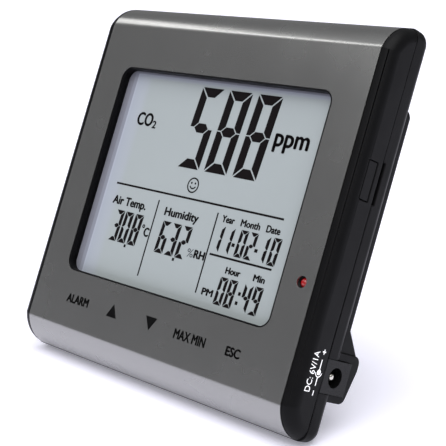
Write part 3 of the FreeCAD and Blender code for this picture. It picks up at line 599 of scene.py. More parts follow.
def soft_node(name: str, node: str, finish: Finish, width: float, body: str = HOUSING,
              segments: int = 3, beyond: float | None = None) -> bpy.types.Object:
    """Make a piece that is a CAD node with its edges rounded.

    Args:
        name: the piece's name.
        node: the CAD node it stands for.
        finish: its surface.
        width: the reach of the rounding in millimetres.
        body: the body it rides on.
        segments: how many facets the rounding has.
        beyond: round only the edges this far from the middle, in millimetres, or all.

    Returns:
        The new object.
    """
    mesh = softened(frame["nodes"][node].data, width, segments, beyond=beyond)
    return piece(name, mesh, finish, body, (node,))


def extruded(build: bmesh.types.BMesh, outline: list[Point], depth: float, thick: float,
             matrix: Matrix | None = None) -> None:
    """Add a flat shape standing on the face, pulled towards the reader.

    Args:
        build: the mesh that gets the shape.
        outline: its corners as (x, height), in order.
        depth: the depth of its back.
        thick: how far it stands forward of that.
        matrix: a transform for the finished shape, or None.
    """
    rear = [build.verts.new((x, depth, z)) for x, z in outline]
    front = [build.verts.new((x, depth - thick, z)) for x, z in outline]
    build.faces.new(rear)
    build.faces.new(front[::-1])
    for number in range(len(outline)):
        following = (number + 1) % len(outline)
        build.faces.new((rear[number], front[number], front[following], rear[following]))
    if matrix:
        bmesh.ops.transform(build, matrix=matrix, verts=rear + front)


def lathe(profile: list[Point], steps: int, axis: str, centre: Place) -> bmesh.types.BMesh:
    """Turn a profile about an axis.

    Args:
        profile: points as (radius, distance along the axis).
        steps: how many facets go round.
        axis: "X" or "Y", the way that the profile's distance runs.
        centre: the place of the profile's zero.

    Returns:
        The turned shape as a bmesh.
    """
    build = bmesh.new()
    ring = [build.verts.new((radius, 0, along)) for radius, along in profile]
    edges = [build.edges.new(pair) for pair in zip(ring, ring[1:])]
    bmesh.ops.spin(build, geom=ring + edges, cent=(0, 0, 0), axis=(0, 0, 1),
                   angle=2 * math.pi, steps=steps, use_merge=True)
    bmesh.ops.remove_doubles(build, verts=build.verts, dist=1e-4)
    turn = {"X": Matrix.Rotation(math.pi / 2, 4, "Y"),
            "Y": Matrix.Rotation(-math.pi / 2, 4, "X")}[axis]
    bmesh.ops.transform(build, matrix=Matrix.Translation(centre) @ turn, verts=build.verts)
    return build


# ---------------------------------------------------------------------------------------
# Geometry Nodes: one tree for parts seated at points, one for parts in a row.


class Repeat(Enum):
    """How a repeated part is laid out."""

    SEATED = "seated parts"
    ROW = "row of parts"


def repeat_tree(kind: Repeat) -> bpy.types.NodeTree:
    """Build the tree that repeats a part, with its sizes as named inputs.

    Args:
        kind: parts seated at a mesh's points, or parts in a straight row.

    Returns:
        The tree, built once and then shared.
    """
    known = bpy.data.node_groups.get(kind.value)
    if known:
        return known
    tree = bpy.data.node_groups.new(kind.value, "GeometryNodeTree")
    sockets = [("Seats", "NodeSocketGeometry"), ("Part", "NodeSocketObject"),
               ("Finish", "NodeSocketMaterial")]
    if kind is Repeat.ROW:
        sockets += [("Count", "NodeSocketInt"), ("Start", "NodeSocketVector"),
                    ("Step", "NodeSocketVector")]
    for name, socket in sockets:
        tree.interface.new_socket(name, in_out="INPUT", socket_type=socket)
    tree.interface.new_socket("Parts", in_out="OUTPUT", socket_type="NodeSocketGeometry")
    given = add_node(tree, "NodeGroupInput")
    part = add_node(tree, "GeometryNodeObjectInfo", {"As Instance": True},
                    {"Object": given.outputs["Part"]})
    points = given.outputs["Seats"]
    if kind is Repeat.ROW:
        points = add_node(tree, "GeometryNodeMeshLine", links={
            "Count": given.outputs["Count"], "Start Location": given.outputs["Start"],
            "Offset": given.outputs["Step"]}, mode="OFFSET").outputs["Mesh"]
    spread = add_node(tree, "GeometryNodeInstanceOnPoints", links={
        "Points": points, "Instance": part.outputs["Geometry"]})
    real = add_node(tree, "GeometryNodeRealizeInstances", links={
        "Geometry": spread.outputs["Instances"]})
    dressed = add_node(tree, "GeometryNodeSetMaterial", links={
        "Geometry": real.outputs["Geometry"], "Material": given.outputs["Finish"]})
    add_node(tree, "NodeGroupOutput", links={"Parts": dressed.outputs["Geometry"]})
    return tree


def repeated(kind: Repeat, part: bpy.types.Mesh, finish: Finish, seats: Sequence[Place] = (),
             **sizes: object) -> bpy.types.Mesh:
    """Repeat a part and return the whole as one plain mesh.

    Args:
        kind: which tree lays the parts out.
        part: the mesh of one part, drawn about its own zero.
        finish: the parts' finish.
        seats: the points for seated parts.
        sizes: the tree's other named inputs.

    Returns:
        A mesh of all the parts, upright and in millimetres.
    """
    pattern = object_from("pattern", part)
    holder = bpy.data.meshes.new("seats")
    holder.from_pydata(list(seats), [], [])
    item = object_from("seats", holder)
    tree = repeat_tree(kind)
    modifier = item.modifiers.new("repeat", "NODES")
    modifier.node_group = tree
    given = {"Part": pattern, "Finish": finish.material(), **sizes}
    for socket in tree.interface.items_tree:
        if socket.in_out == "INPUT" and socket.name in given:
            modifier[socket.identifier] = given[socket.name]
    mesh = baked(item)
    bpy.data.objects.remove(pattern)
    return mesh


# ---------------------------------------------------------------------------------------
# Lettering.


class Fit(Enum):
    """Which letter's height a word's height is measured by."""

    CAPITAL = "H"
    SMALL = "x"


@dataclass(frozen=True)
class Word:
    """A printed word: where it starts and ends, its base line and its height.

    Its strokes are thickened by weight on each side, in millimetres, with shifted copies
    of the letters, and by less above and below.
    """

    text: str
    left: float
    right: float
    base: float
    height: float
    fit: Fit = Fit.CAPITAL
    weight: float = 0.07
    flatter: float = 0.7

    def letters(self) -> bpy.types.Mesh:
        """Write the word with X across and Y up.

        Returns:
            Its mesh, with a capital or small letter one unit high.
        """
        tall = max(v.co.y for v in glyphs(self.fit.value).vertices)
        mesh = glyphs(self.text)
        mesh.transform(Matrix.Scale(1 / tall, 4))
        return mesh

    def solid(self, depth: float, thick: float) -> bpy.types.Mesh:
        """The word standing on the face.

        Args:
            depth: the depth of the surface that carries it.
            thick: how far its ink stands forward.

        Returns:
            A mesh, upright and in millimetres.
        """
        mesh = self.letters()
        low = min(v.co.x for v in mesh.vertices)
        high = max(v.co.x for v in mesh.vertices)
        bold = self.weight
        wide = (self.right - self.left - 2 * bold) / (high - low)
        tall = self.height - 2 * bold * self.flatter
        for vertex in mesh.vertices:
            x, y, z = vertex.co
            vertex.co = (self.left + bold + (x - low) * wide, depth - z * thick,
                         self.base + bold * self.flatter + y * tall)
        copies = []
        for across, up in ((-1, 0), (0, 1), (1, 0), (0, -1), (0, 0)) if bold else ((0, 0),):
            copy = mesh.copy()
            copy.transform(Matrix.Translation((across * bold, 0, up * bold * self.flatter)))
            copies.append(copy)
        return joined(copies, "word")


def glyphs(text: str) -> bpy.types.Mesh:
    """The outlines of some text as a solid one unit thick, X across and Y up.

    Args:
        text: what to write.

    Returns:
        A closed mesh from z = 0 to z = 1.
    """
    curve = bpy.data.curves.new("glyphs", "FONT")
    curve.body = text
    curve.resolution_u = 4
    curve.extrude = 0.5
    item = object_from("glyphs", curve)
    mesh = baked(item)
    mesh.transform(Matrix.Translation((0, 0, 0.5)))
    return mesh


def joined(parts: list[bpy.types.Mesh], name: str) -> bpy.types.Mesh:
    """Join several meshes into one.

    Args:
        parts: the meshes, which stay.
        name: the new mesh's name.

    Returns:
        The new mesh.
    """
    build = bmesh.new()
    for part in parts:
        build.from_mesh(part)
    mesh = bpy.data.meshes.new(name)
    bmesh.ops.remove_doubles(build, verts=build.verts, dist=1e-6)
    build.to_mesh(mesh)
    build.free()
    return mesh


# The bars of a numeral, in the order top, upper right, lower right, bottom, lower left,
# upper left and middle.
NUMERAL_BARS = {
    "0": "1111110", "1": "0110000", "2": "1101101", "3": "1111001", "4": "0110011",
    "5": "1011011", "6": "1011111", "7": "1110000", "8": "1111111", "9": "1111011",
}


@dataclass(frozen=True)
class Readout:
    """A row of seven-bar numerals that lean a little to the right."""

    text: str
    lefts: tuple[float, ...]
    base: float
    width: float
    height: float
    bar: float
    gap: float
    slant: float = 0.062

    def bars(self) -> list[list[Point]]:
        """Draw the seven bars in the numeral's own box.

        Returns:
            The outline of each bar, in the order of NUMERAL_BARS.
        """
        w, h, t, g = self.width, self.height, self.bar, self.gap
        m, half = h / 2, t / 2
        top = [(g, h), (w - g, h), (w - t - g, h - t), (t + g, h - t)]
        right = [(w, h - g), (w, m + g / 2), (w - half, m + g / 2), (w - t, m + half + g / 2),
                 (w - t, h - t - g)]
        middle = [(half + g, m), (t + g, m + half), (w - t - g, m + half), (w - half - g, m),
                  (w - t - g, m - half), (t + g, m - half)]

        def down(outline: list[Point]) -> list[Point]:
            """The outline turned over, top to bottom."""
            return [(x, h - z) for x, z in outline][::-1]

        def across(outline: list[Point]) -> list[Point]:
            """The outline turned over, left to right."""
            return [(w - x, z) for x, z in outline][::-1]

        return [top, right, down(right), down(top), across(down(right)), across(right), middle]

    def add_to(self, build: bmesh.types.BMesh, depth: float, thick: float) -> None:
        """Add every lit bar, standing on the display.

        Args:
            build: the mesh that gets the bars.
            depth: the depth of the display's surface.
            thick: how far they stand forward.
        """
        shear = Matrix.Identity(4)
        shear[0][2] = self.slant
        for text, left in zip(self.text, self.lefts):
            place = Matrix.Translation((left, 0, self.base)) @ shear
            for lit, outline in zip(NUMERAL_BARS[text], self.bars()):
                if lit == "1":
                    extruded(build, outline, depth, thick, place)


# ---------------------------------------------------------------------------------------
# The instrument's sub-assemblies.


@dataclass
class Casing:
    """The silver face, the two black mouldings and the blanked port."""

    face_edge: float = 0.03
    moulding_edge: float = 0.30
    # How far from the middle the front moulding's end cheeks start.
    cheek_from: float = 55.9
    plug_edge: float = 0.25

    def make(self) -> None:
        """Build and dress every casing piece."""
        soft_node("face_sheet", "front_panel", SILVER, self.face_edge)
        soft_node("front_moulding", "front_case", BLACK, self.moulding_edge,
                  beyond=self.cheek_from)
        soft_node("back_moulding", "rear_cover", BLACK, self.moulding_edge, beyond=0.0)
        soft_node("port_blank", "port_plug", BLACK, self.plug_edge)


@dataclass(frozen=True)
class Bar:
    """A straight printed rule, level or upright."""

    left: float
    right: float
    low: float
    high: float

    def outline(self) -> list[Point]:
        """Its four corners."""
        return [(self.left, self.low), (self.right, self.low), (self.right, self.high),
                (self.left, self.high)]


@dataclass
class Display:
    """The liquid crystal display: its pane, its numerals, words, rules and signs.

    All places are in millimetres on the pane.
    """

    ink: float = 0.03
    pane_edge: float = 0.12
    readouts: tuple[Readout, ...] = (
        Readout("588", (-10.9, 0.85, 12.9), 66.2, 9.5, 25.6, 2.95, 0.34),
        Readout("308", (-32.3, -27.9, -23.2), 38.95, 3.8, 10.0, 1.35, 0.15),
        Readout("632", (-10.4, -5.9, -1.15), 38.95, 3.85, 10.0, 1.35, 0.15),
        Readout("110210", (12.6, 16.6, 22.05, 25.85, 30.7, 34.95), 43.65, 3.15, 8.05, 1.12,
                0.14),
        Readout("0849", (19.35, 23.25, 29.3, 33.2), 28.95, 3.2, 8.2, 1.12, 0.14),
    )
    words: tuple[Word, ...] = (
        Word("CO", -34.8, -27.3, 76.9, 4.3, weight=0.21),
        Word("2", -27.2, -25.4, 76.5, 2.5, weight=0.13),
        Word("ppm", 25.1, 38.4, 77.3, 3.8, Fit.SMALL, 0.22),
        Word("Air Temp.", -35.1, -19.2, 50.6, 2.8, weight=0.16),
        Word("Humidity", -10.5, 4.5, 50.6, 2.65, weight=0.16),
        Word("C", -17.1, -14.7, 42.7, 2.9, weight=0.18),
        Word("RH", 6.6, 11.2, 40.2, 2.6, weight=0.18),
        Word("Year", 13.8, 19.0, 52.6, 2.15, weight=0.12),
        Word("Month", 21.5, 29.2, 52.6, 2.15, weight=0.12),
        Word("Date", 31.6, 37.0, 52.6, 2.15, weight=0.12),
        Word("Hour", 20.8, 26.8, 38.3, 2.05, weight=0.14),
        Word("Min", 31.9, 36.4, 38.3, 2.05, weight=0.14),
        Word("PM", 13.9, 18.5, 30.6, 2.15, weight=0.15),
    )
    faint_words: tuple[Word, ...] = (Word("%", 3.7, 6.3, 40.2, 2.5, weight=0.0),)
    rules: tuple[Bar, ...] = (
        Bar(-35.6, 36.9, 56.93, 57.53), Bar(-14.5, -13.98, 30.5, 54.8),
        Bar(11.35, 11.87, 30.6, 55.0), Bar(12.8, 37.6, 42.4, 43.0),
        Bar(-24.15, -23.25, 37.85, 38.75), Bar(-1.7, -0.8, 37.8, 38.7),
        Bar(20.3, 21.5, 46.3, 47.3), Bar(29.4, 30.6, 46.3, 47.3),
        Bar(28.0, 29.0, 33.3, 34.3), Bar(27.75, 28.75, 30.55, 31.55),
    )
    smile_at: Point = (-1.8, 61.4)
    smile_radius: float = 2.2
    degree_at: Point = (-17.75, 45.75)

    def make(self) -> None:
        """Build the pane and everything that it shows."""
        # The pane's film carries the painted shade and painted reflection of the window frame.
        soft_node("display_pane", "display_front_glass", FILM_WITH_PAINTED_SHADE, self.pane_edge, segments=2)
        depth = upright_box("display_front_glass")[0].y
        bars = bmesh.new()
        for readout in self.readouts:
            readout.add_to(bars, depth, self.ink)
        piece("display_numerals", upright(mesh_from(bars, "numerals")), CRYSTAL, HOUSING)
        lines = bmesh.new()
        for rule in self.rules:
            extruded(lines, rule.outline(), depth, self.ink)
        piece("display_rules", upright(mesh_from(lines, "rules")), CRYSTAL, HOUSING)
        words = joined([word.solid(depth, self.ink) for word in self.words], "words")
        piece("display_words", upright(words), CRYSTAL, HOUSING)
        faint = joined([word.solid(depth, self.ink) for word in self.faint_words], "faint")
        piece("display_faint_words", upright(faint), FAINT, HOUSING)
        signs = self.signs(depth)
        piece("display_signs", upright(signs), CRYSTAL, HOUSING)

    def signs(self, depth: float) -> bpy.types.Mesh:
        """Draw the contented face and the degree ring.

        Args:
            depth: the depth of the pane's surface.

        Returns:
            Their mesh, upright and in millimetres.
        """
        build = bmesh.new()
        x, z = self.smile_at
        radius = self.smile_radius
        add_arc(build, (x, z), radius, 0.46, 0, 360, depth, self.ink)
        add_arc(build, (x, z + 0.25), radius * 0.58, 0.42, 205, 335, depth, self.ink)
        for side in (-1, 1):
            eye = (x + side * radius * 0.36, z + radius * 0.3)
            add_arc(build, eye, 0.17, 0.33, 0, 360, depth, self.ink)
        add_arc(build, self.degree_at, 0.42, 0.4, 0, 360, depth, self.ink)
        return mesh_from(build, "signs")


def add_arc(build: bmesh.types.BMesh, centre: Point, radius: float, width: float,
            start: float, end: float, depth: float, thick: float, steps: int = 36) -> None:
    """Add a flat ring or a part of one, standing on the face.

    Args:
        build: the mesh that gets it.
        centre: its centre as (x, height).
        radius: the radius of the stroke's middle.
        width: the stroke's width.
        start: the first angle in degrees.
        end: the last angle in degrees; 360 more than start closes the ring.
        depth: the depth of the surface.
        thick: how far it stands forward.
        steps: how many facets it has.
    """
    for step in range(steps):
        low = math.radians(start + (end - start) * step / steps)
        high = math.radians(start + (end - start) * (step + 1) / steps)
        reaches = [(radius + width / 2, low), (radius + width / 2, high),
                   (radius - width / 2, high), (radius - width / 2, low)]
        outline = [(centre[0] + r * math.cos(a), centre[1] + r * math.sin(a))
                   for r, a in reaches]
        extruded(build, outline, depth, thick)
    bmesh.ops.remove_doubles(build, verts=build.verts, dist=1e-5)


@dataclass
class Print:
    """The black key marks on the face and the white socket marks on the right cheek."""

    ink: float = 0.02
    key_words: tuple[Word, ...] = (
        Word("ALARM", -39.8, -29.0, 16.3, 2.85, weight=0.17),
        Word("MAX MIN", 10.7, 23.8, 16.2, 2.95, weight=0.13),
        Word("ESC", 32.0, 37.7, 16.3, 2.75, weight=0.17),
    )
    up_arrow: tuple[Point, ...] = ((-19.8, 16.0), (-15.0, 16.0), (-17.4, 20.1))
    down_arrow: tuple[Point, ...] = ((-2.5, 20.0), (0.0, 15.9), (2.5, 20.0))
    socket_words: tuple[Word, ...] = (
        Word("DC: 6V/1A", 14.0, 25.1, -5.3, 2.15, weight=0.0),)
    sign_row: float = -7.1
    sign_stroke: float = 0.34
    cheek_round: float = 3.8
    lift: float = 0.03

    def make(self) -> None:
        """Build both prints."""
        face = bmesh.new()
        for outline in (self.up_arrow, self.down_arrow):
            extruded(face, list(outline), 0.0, self.ink)
        marks = joined([word.solid(0.0, self.ink) for word in self.key_words]
                       + [mesh_from(face, "arrows")], "marks")
        piece("key_marks", upright(marks), INK, HOUSING)
        signs = bmesh.new()
        row = self.sign_row
        add_arc(signs, (19.6, row), 1.3, 0.28, 95, 265, 0.0, self.ink)
        add_arc(signs, (19.6, row), 0.4, 0.78, 0, 360, 0.0, self.ink)
        half = self.sign_stroke / 2
        for left, right, low, high in (
                (15.9, 18.4, row - half, row + half), (20.2, 23.1, row - half, row + half),
                (13.2, 14.6, row - half, row + half), (24.5, 25.9, row - half, row + half),
                (25.2 - half, 25.2 + half, row - 0.7, row + 0.7)):
            extruded(signs, Bar(left, right, low, high).outline(), 0.0, self.ink)
        flat = joined([word.solid(0.0, self.ink) for word in self.socket_words]
                      + [mesh_from(signs, "signs")], "socket_marks")
        self.to_cheek(flat)
        # The white marks carry a slight painted glow.
        piece("socket_marks", upright(flat), WHITE_INK_PAINTED_GLOW, HOUSING)

    def to_cheek(self, flat: bpy.types.Mesh) -> None:
        """Turn a print drawn as if on the face so that it reads up the right cheek.

        Args:
            flat: the print's mesh, which is changed.
        """
        side = upright_box("front_case")[1].x
        for vertex in flat.vertices:
            x, y, z = vertex.co
            short = max(0.0, self.cheek_round + z)
            sag = self.cheek_round - math.sqrt(self.cheek_round ** 2 - short ** 2)
            vertex.co = (side + self.lift - sag - y, -z, x)
        flat.flip_normals()
        build = bmesh.new()
        build.from_mesh(flat)
        bmesh.ops.recalc_face_normals(build, faces=build.faces)
        build.to_mesh(flat)
        build.free()


@dataclass
class Lamp:
    """The red alarm lamp behind its hole in the face."""

    flange: float = 0.4
    flange_thick: float = 1.0
    steps: int = 48

    def make(self) -> None:
        """Turn the domed lens about its axis."""
        low, high = upright_box("alarm_lamp")
        centre = ((low.x + high.x) / 2, low.y, (low.z + high.z) / 2)
        outer = (high.x - low.x) / 2
        radius, length = outer - self.flange, high.y - low.y
        dome = [(radius * math.sin(a), radius * (1 - math.cos(a)))
                for a in (math.radians(7.5 * step) for step in range(13))]
        seat = length - self.flange_thick
        profile = [*dome, (radius, seat - 0.1), (radius + 0.1, seat), (outer - 0.1, seat),
                   (outer, seat + 0.1), (outer, length), (0.0, length)]
        mesh = mesh_from(lathe(profile, self.steps, "Y", centre), "lens", smooth=True)
        piece("lamp_lens", upright(mesh), LENS, HOUSING,
              ("alarm_lamp",))


@dataclass
class Socket:
    """The power socket: its block, its bright centre pin and its contact spring."""

    block_edge: float = 0.18
    spring_width: float = 1.8
    spring_thick: float = 0.22
    spring_length: float = 6.5
    spring_bow: float = 0.45
    spring_steps: int = 14
    # How far the spring stays behind the mouth, and above the bottom of the barrel.
    spring_behind: float = 0.8
    spring_above: float = 0.37
    barrel_radius: float = 2.85

    def make(self) -> None:
        """Build the block, the pin and the spring."""
        soft_node("socket_block", "power_socket", BLACK_SMOOTH, self.block_edge)
        low, high = upright_box("power_socket_pin")
        radius, length = (high.z - low.z) / 2, high.x - low.x
        tip = [(radius * math.cos(a), length - radius * 0.6 * (1 - math.sin(a)))
               for a in (math.radians(15 * step) for step in range(7))]
        profile = [(0.0, 0.0), (radius, 0.0), *tip[:-1], (0.0, length)]
        middle = (low.x, (low.y + high.y) / 2, (low.z + high.z) / 2)
        pin = mesh_from(lathe(profile, 32, "X", middle), "pin", smooth=True)
        piece("socket_pin", upright(pin), NICKEL, HOUSING,
              ("power_socket_pin",))
        self.spring(middle, high.x)

    def spring(self, middle: Place, mouth: float) -> None:
        """A bowed strip low in the barrel that presses on the plug's sleeve.

        Args:
            middle: the foot of the centre pin's axis.
            mouth: how far right the socket's mouth is.
        """
        build = bmesh.new()
        half = self.spring_width / 2
        rows = []
        for step in range(self.spring_steps + 1):
            share = step / self.spring_steps
            x = mouth - self.spring_behind - self.spring_length * (1 - share)
            bow = self.spring_bow * math.sin(math.pi * share)
            foot = middle[2] - self.barrel_radius + self.spring_above + bow
            top = foot + self.spring_thick
            rows.append([build.verts.new((x, middle[1] + side * half, z))
                         for side, z in ((-1, foot), (1, foot), (1, top), (-1, top))])
        for first, second in zip(rows, rows[1:]):
            for corner in range(4):
                following = (corner + 1) % 4
                build.faces.new((first[corner], first[following], second[following],
                                 second[corner]))
        build.faces.new(rows[0][::-1])
        build.faces.new(rows[-1])
        mesh = mesh_from(build, "spring")
        piece("socket_spring", upright(mesh), NICKEL, HOUSING)


@dataclass
class Hardware:
    """The case screws, and the fine gauze behind the vents."""

    head_radius: float = 2.6
    head_height: float = 1.7
    recess: float = 0.9
    slot_reach: float = 1.7
    slot_width: float = 0.62
    shank_radius: float = 1.3
    shank_length: float = 9.0
    tip_radius: float = 0.7
    wire: float = 0.24
    wire_pitch: float = 1.05
    # The gauze's edge past the sensor board's sides, and short of its foot; and its gap.
    gauze_past: float = 0.5
    gauze_short: float = 1.5
    gauze_gap: float = 0.62
    # How far apart the crossing wires lie, as a share of a wire.
    wire_lap: float = 0.8

    def make(self) -> None:
        """Build the screws and both gauzes."""
        seats = []
        for low, high in upright_islands("case_screws"):
            seats.append(((low.x + high.x) / 2, high.y - self.head_height,
                          (low.z + high.z) / 2))
        screws = repeated(Repeat.SEATED, self.screw(), STEEL, seats)
        piece("cover_screws", upright(screws), STEEL, HOUSING,
              ("case_screws",))
        for side, sign in (("right", 1), ("left", -1)):
            self.gauze(side, sign)

    def screw(self) -> bpy.types.Mesh:
        """Make one pan-head screw with a cross recess.

        Returns:
            Its mesh, with its seat at zero and its head along +Y.
        """
        r, h = self.head_radius, self.head_height
        shank, tip = self.shank_radius, -self.shank_length
        profile = [(0.0, tip), (self.tip_radius, tip), (shank, tip + 1), (shank, 0.0), (r, 0.0),
                   (r, h * 0.45), (r * 0.93, h * 0.72), (r * 0.74, h * 0.92), (r * 0.4, h),
                   (0.0, h)]
        head = mesh_from(lathe(profile, 40, "Y", (0, 0, 0)), "head", smooth=True)
        item = object_from("head", head)
        cross = bmesh.new()
        half = self.slot_width / 2
        for wide, tall in ((self.slot_reach, half), (half, self.slot_reach)):
            outline = [(-wide, -tall), (wide, -tall), (wide, tall), (-wide, tall)]
            extruded(cross, outline, h + 1.0, 1.0 + self.recess)
        cutter = object_from("cross", mesh_from(cross, "cross"))
        cut = item.modifiers.new("cross", "BOOLEAN")
        cut.object = cutter
        cut.solver = "EXACT"
        cut.use_self = True
        mesh = baked(item)
        bpy.data.objects.remove(cutter)
        return mesh

    def gauze(self, side: str, sign: int) -> None:
        """A woven net close behind one group of vents.

        Args:
            side: the side's name.
            sign: 1 for the right and -1 for the left.
        """
        low, high = upright_box("gas_sensor_board")
        left, right = low.x - self.gauze_past, high.x + self.gauze_past
        foot, top = low.z + self.gauze_short, high.z - self.gauze_past
        if sign < 0:
            left, right = -right, -left
        depth = upright_box("gas_sensor_chamber")[1].y + self.gauze_gap
        level = self.bar(right - left, "X")
        stand = self.bar(top - foot, "Z")
        rows = int((top - foot) / self.wire_pitch) + 1
        columns = int((right - left) / self.wire_pitch) + 1
        nets = [
            repeated(Repeat.ROW, level, GAUZE, Count=rows, Start=(left, depth, foot),
                     Step=(0, 0, self.wire_pitch)),
            repeated(Repeat.ROW, stand, GAUZE, Count=columns,
                     Start=(left, depth + self.wire * self.wire_lap, foot),
                     Step=(self.wire_pitch, 0, 0))]
        piece(f"vent_gauze_{side}", upright(joined(nets, "gauze")), GAUZE, HOUSING)

    def bar(self, length: float, axis: str) -> bpy.types.Mesh:
        """Make one six-sided wire of the gauze, from zero along X or Z.

        Args:
            length: the wire's length.
            axis: "X" or "Z".

        Returns:
            Its mesh.
        """
        build = bmesh.new()
        ends = []
        for along in (0.0, length):
            ring = []
            for step in range(6):
                angle = math.radians(60 * step)
                a, b = self.wire / 2 * math.cos(angle), self.wire / 2 * math.sin(angle)
                ring.append(build.verts.new((along, a, b) if axis == "X" else (b, a, along)))
            ends.append(ring)
        for step in range(6):
            following = (step + 1) % 6
            build.faces.new((ends[0][step], ends[0][following], ends[1][following],
                             ends[1][step]))
        build.faces.new(ends[0][::-1])
        build.faces.new(ends[1])
        return mesh_from(build, "wire")


@dataclass
class Stand:
    """The fold-out stand with its ribbed rubber pad, and the two rubber feet."""

    leg_edge: float = 0.7
    foot_edge: float = 0.25
    rib_pitch: float = 2.0
    rib_width: float = 1.3
    rib_height: float = 0.35
    rib_sunk: float = 0.1
    rib_bevel: Point = (0.12, 0.2)
    facets: int = 40

    def make(self) -> None:
        """Build the leg, the pad and the feet."""
        soft_node("stand_frame", "stand_leg", BLACK, self.leg_edge, body=STAND, segments=4)
        soft_node("case_feet", "rubber_feet", RUBBER, self.foot_edge)
        low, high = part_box("stand_pad")
        centre = (low + high) / 2
        radius, length = (high.z - low.z) / 2 / MM, (high.x - low.x) / MM
        place = STANCE.matrix.inverted() @ centre
        inner = radius - self.rib_height
        core = mesh_from(lathe([(0, 0), (inner, 0), (inner, length), (0, length)], self.facets,
                               "X", (place.x - length / 2, place.y, place.z)), "core")
        half = self.rib_width / 2
        root = inner - self.rib_sunk
        fall, run = self.rib_bevel
        rib = mesh_from(lathe([(root, -half), (radius - fall, -half), (radius, -half + run),
                               (radius, half - run), (radius - fall, half), (root, half),
                               (root, -half)], self.facets, "X", (0, 0, 0)), "rib")
        count = int((length - self.rib_width) / self.rib_pitch) + 1
        start = place.x - (count - 1) * self.rib_pitch / 2
        ribs = repeated(Repeat.ROW, rib, RUBBER, Count=count,
                        Start=(start, place.y, place.z), Step=(self.rib_pitch, 0, 0))
        piece("stand_sole", upright(joined([core, ribs], "sole")), RUBBER, STAND,
              ("stand_pad",))


def upright_box(node: str) -> tuple[Vector, Vector]:
    """A CAD node's box in the upright frame, in millimetres."""
    return upright_islands(node, whole=True)[0]


def upright_islands(node: str, whole: bool = False) -> list[tuple[Vector, Vector]]:
    """The boxes of a CAD node's separate solids, upright and in millimetres.

    Args:
        node: the CAD node.
        whole: whether to give one box of the whole node instead.

    Returns:
        The low and high corner of each box.
    """
    build = bmesh.new()
    build.from_mesh(frame["nodes"][node].data)
    bmesh.ops.remove_doubles(build, verts=build.verts, dist=WELD)
    bmesh.ops.transform(build, matrix=STANCE.matrix.inverted(), verts=build.verts)
    waiting = set(build.verts)
    groups = [list(build.verts)] if whole else []
    while waiting and not whole:
        found = [waiting.pop()]
        for vert in found:
            for edge in vert.link_edges:
                other = edge.other_vert(vert)
                if other in waiting:
                    waiting.remove(other)
                    found.append(other)
        groups.append(found)
    boxes = []
    for group in groups:
        spans = [sorted(v.co[axis] for v in group) for axis in range(3)]
        boxes.append((Vector(span[0] for span in spans), Vector(span[-1] for span in spans)))
    build.free()
    return sorted(boxes, key=lambda pair: tuple(pair[0]))


def dress_nodes() -> None:
    """Give each CAD node that is shown as it is its own finish."""
    finishes = dict(NODE_FINISH)
    for start, finish in (("key_plunger", WHITE), ("key_stem", CHIP)):
        finishes |= {name: finish for name in frame["nodes"] if name.startswith(start)}
    for name, finish in sorted(finishes.items()):
        materials = frame["nodes"][name].data.materials
        materials.clear()
        materials.append(finish.material())
        LOG.info("%s: dressed in %s", name, finish.title)


# ---------------------------------------------------------------------------------------
# Studio.


@dataclass(frozen=True)
class SoftBox:
    """A soft rectangular light that looks at the instrument."""

    name: str
    place: Place
    width: float
    height: float
    power: float
    aim: Place = (0.0, 0.0, 0.05)

    def make(self) -> None:
        """Hang the light."""
        lamp = bpy.data.lights.new(self.name, "AREA")
        lamp.shape = "RECTANGLE"
        lamp.size = self.width
        lamp.size_y = self.height
        lamp.energy = self.power
        item = bpy.data.objects.new(self.name, lamp)
        item.location = self.place
        toward = Vector(self.aim) - Vector(self.place)
        item.rotation_euler = toward.to_track_quat("-Z", "Y").to_euler()
        bpy.context.scene.collection.objects.link(item)


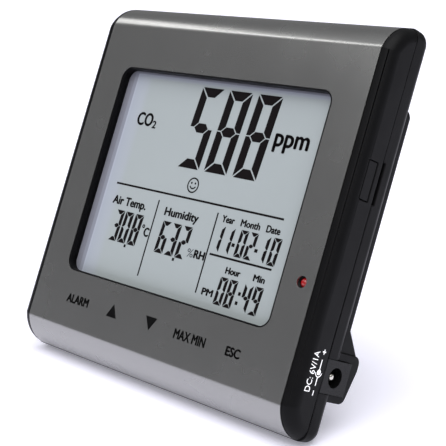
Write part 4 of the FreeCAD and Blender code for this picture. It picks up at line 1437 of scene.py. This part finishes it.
@dataclass
class Studio:
    """A pale floor, soft light from above and both sides, and the camera."""

    floor_size: float = 9.0
    floor_colour: str = "#EFEEFA"
    floor_drift: str = "#EEEDF9"
    floor_glow: float = 0.30
    sky_colour: str = "#FBFCFF"
    low_sky: float = 0.25
    high_sky: float = 1.1
    # The sine of the height at which the surround starts to brighten, and of its full height.
    sky_rise: Point = (0.72, 0.97)
    sun: float = 2.5
    sun_spread: float = 66.0
    sun_turn: Point = (20.0, 18.0)
    lens: float = 97.73
    camera_place: Place = (0.25900, -0.25896, 0.13527)
    camera_pitch: float = -13.49
    camera_heading: float = 45.29
    lights: tuple[SoftBox, ...] = field(default_factory=lambda: (
        SoftBox("left_strip", (-0.74, -0.40, 0.92), 1.2, 0.12, 2.2),
        SoftBox("right_side", (1.2, 0.5, 0.45), 0.5, 0.7, 0.3),
    ))

    def make(self) -> None:
        """Lay the floor, light it and set the camera."""
        self.floor()
        self.sky()
        self.overhead()
        for light in self.lights:
            light.make()
        self.camera()
        self.true_colours()

    def floor(self) -> None:
        """A plain pale floor, lit faintly from beneath so that shadows stay soft."""
        build = bmesh.new()
        bmesh.ops.create_grid(build, x_segments=1, y_segments=1, size=self.floor_size / 2)
        mesh = bpy.data.meshes.new("floor")
        build.to_mesh(mesh)
        build.free()
        floor = object_from("floor", mesh)
        finish = Finish("studio_floor", self.floor_colour, self.floor_drift, roughness=(0.75, 0.85),
                        grain_mm=20, grain_depth_mm=0.0, grain_strength=0.0, blotch_mm=900,
                        emission=self.floor_glow)
        mesh.materials.append(finish.material())

    def sky(self) -> None:
        """An even pale surround that is brighter overhead."""
        world = bpy.data.worlds.new("surround")
        world.use_nodes = True
        tree = world.node_tree
        tree.nodes.clear()
        where = add_node(tree, "ShaderNodeTexCoord")
        parts = add_node(tree, "ShaderNodeSeparateXYZ", links={
            "Vector": where.outputs["Generated"]})
        level = add_node(tree, "ShaderNodeMapRange", {
            "From Min": self.sky_rise[0], "From Max": self.sky_rise[1],
            "To Min": self.low_sky, "To Max": self.high_sky}, {"Value": parts.outputs["Z"]},
            interpolation_type="SMOOTHSTEP")
        glow = add_node(tree, "ShaderNodeBackground", {"Color": srgb(self.sky_colour)},
                        {"Strength": level.outputs["Result"]})
        add_node(tree, "ShaderNodeOutputWorld", links={"Surface": glow.outputs["Background"]})
        bpy.context.scene.world = world

    def overhead(self) -> None:
        """One very large soft light straight above, which keeps the floor evenly pale."""
        lamp = bpy.data.lights.new("overhead", "SUN")
        lamp.energy = self.sun
        lamp.angle = math.radians(self.sun_spread)
        item = bpy.data.objects.new("overhead", lamp)
        item.location = (0.0, 0.0, 1.5)
        item.rotation_euler = (*map(math.radians, self.sun_turn), 0)
        bpy.context.scene.collection.objects.link(item)

    def camera(self) -> None:
        """Set the camera at the right, a little above the case, with a long lens."""
        lens = bpy.data.cameras.new("camera")
        lens.lens = self.lens
        lens.sensor_width = 36.0
        lens.clip_start = 0.01
        item = bpy.data.objects.new("camera", lens)
        item.location = self.camera_place
        item.rotation_euler = (math.radians(90 + self.camera_pitch), 0,
                               math.radians(self.camera_heading))
        bpy.context.scene.collection.objects.link(item)
        bpy.context.scene.camera = item

    def true_colours(self) -> None:
        """Show the colours as they are, so that the pale floor stays pale."""
        bpy.context.scene.view_settings.view_transform = "Standard"


def main() -> None:
    """Build every piece in order, then the studio."""
    logging.basicConfig(level=logging.INFO, format="%(name)s %(message)s")
    for assembly in (Casing(), Display(), Print(), Lamp(), Socket(), Hardware(), Stand()):
        assembly.make()
    dress_nodes()
    Studio().make()


if __name__ == "__main__":
    main()
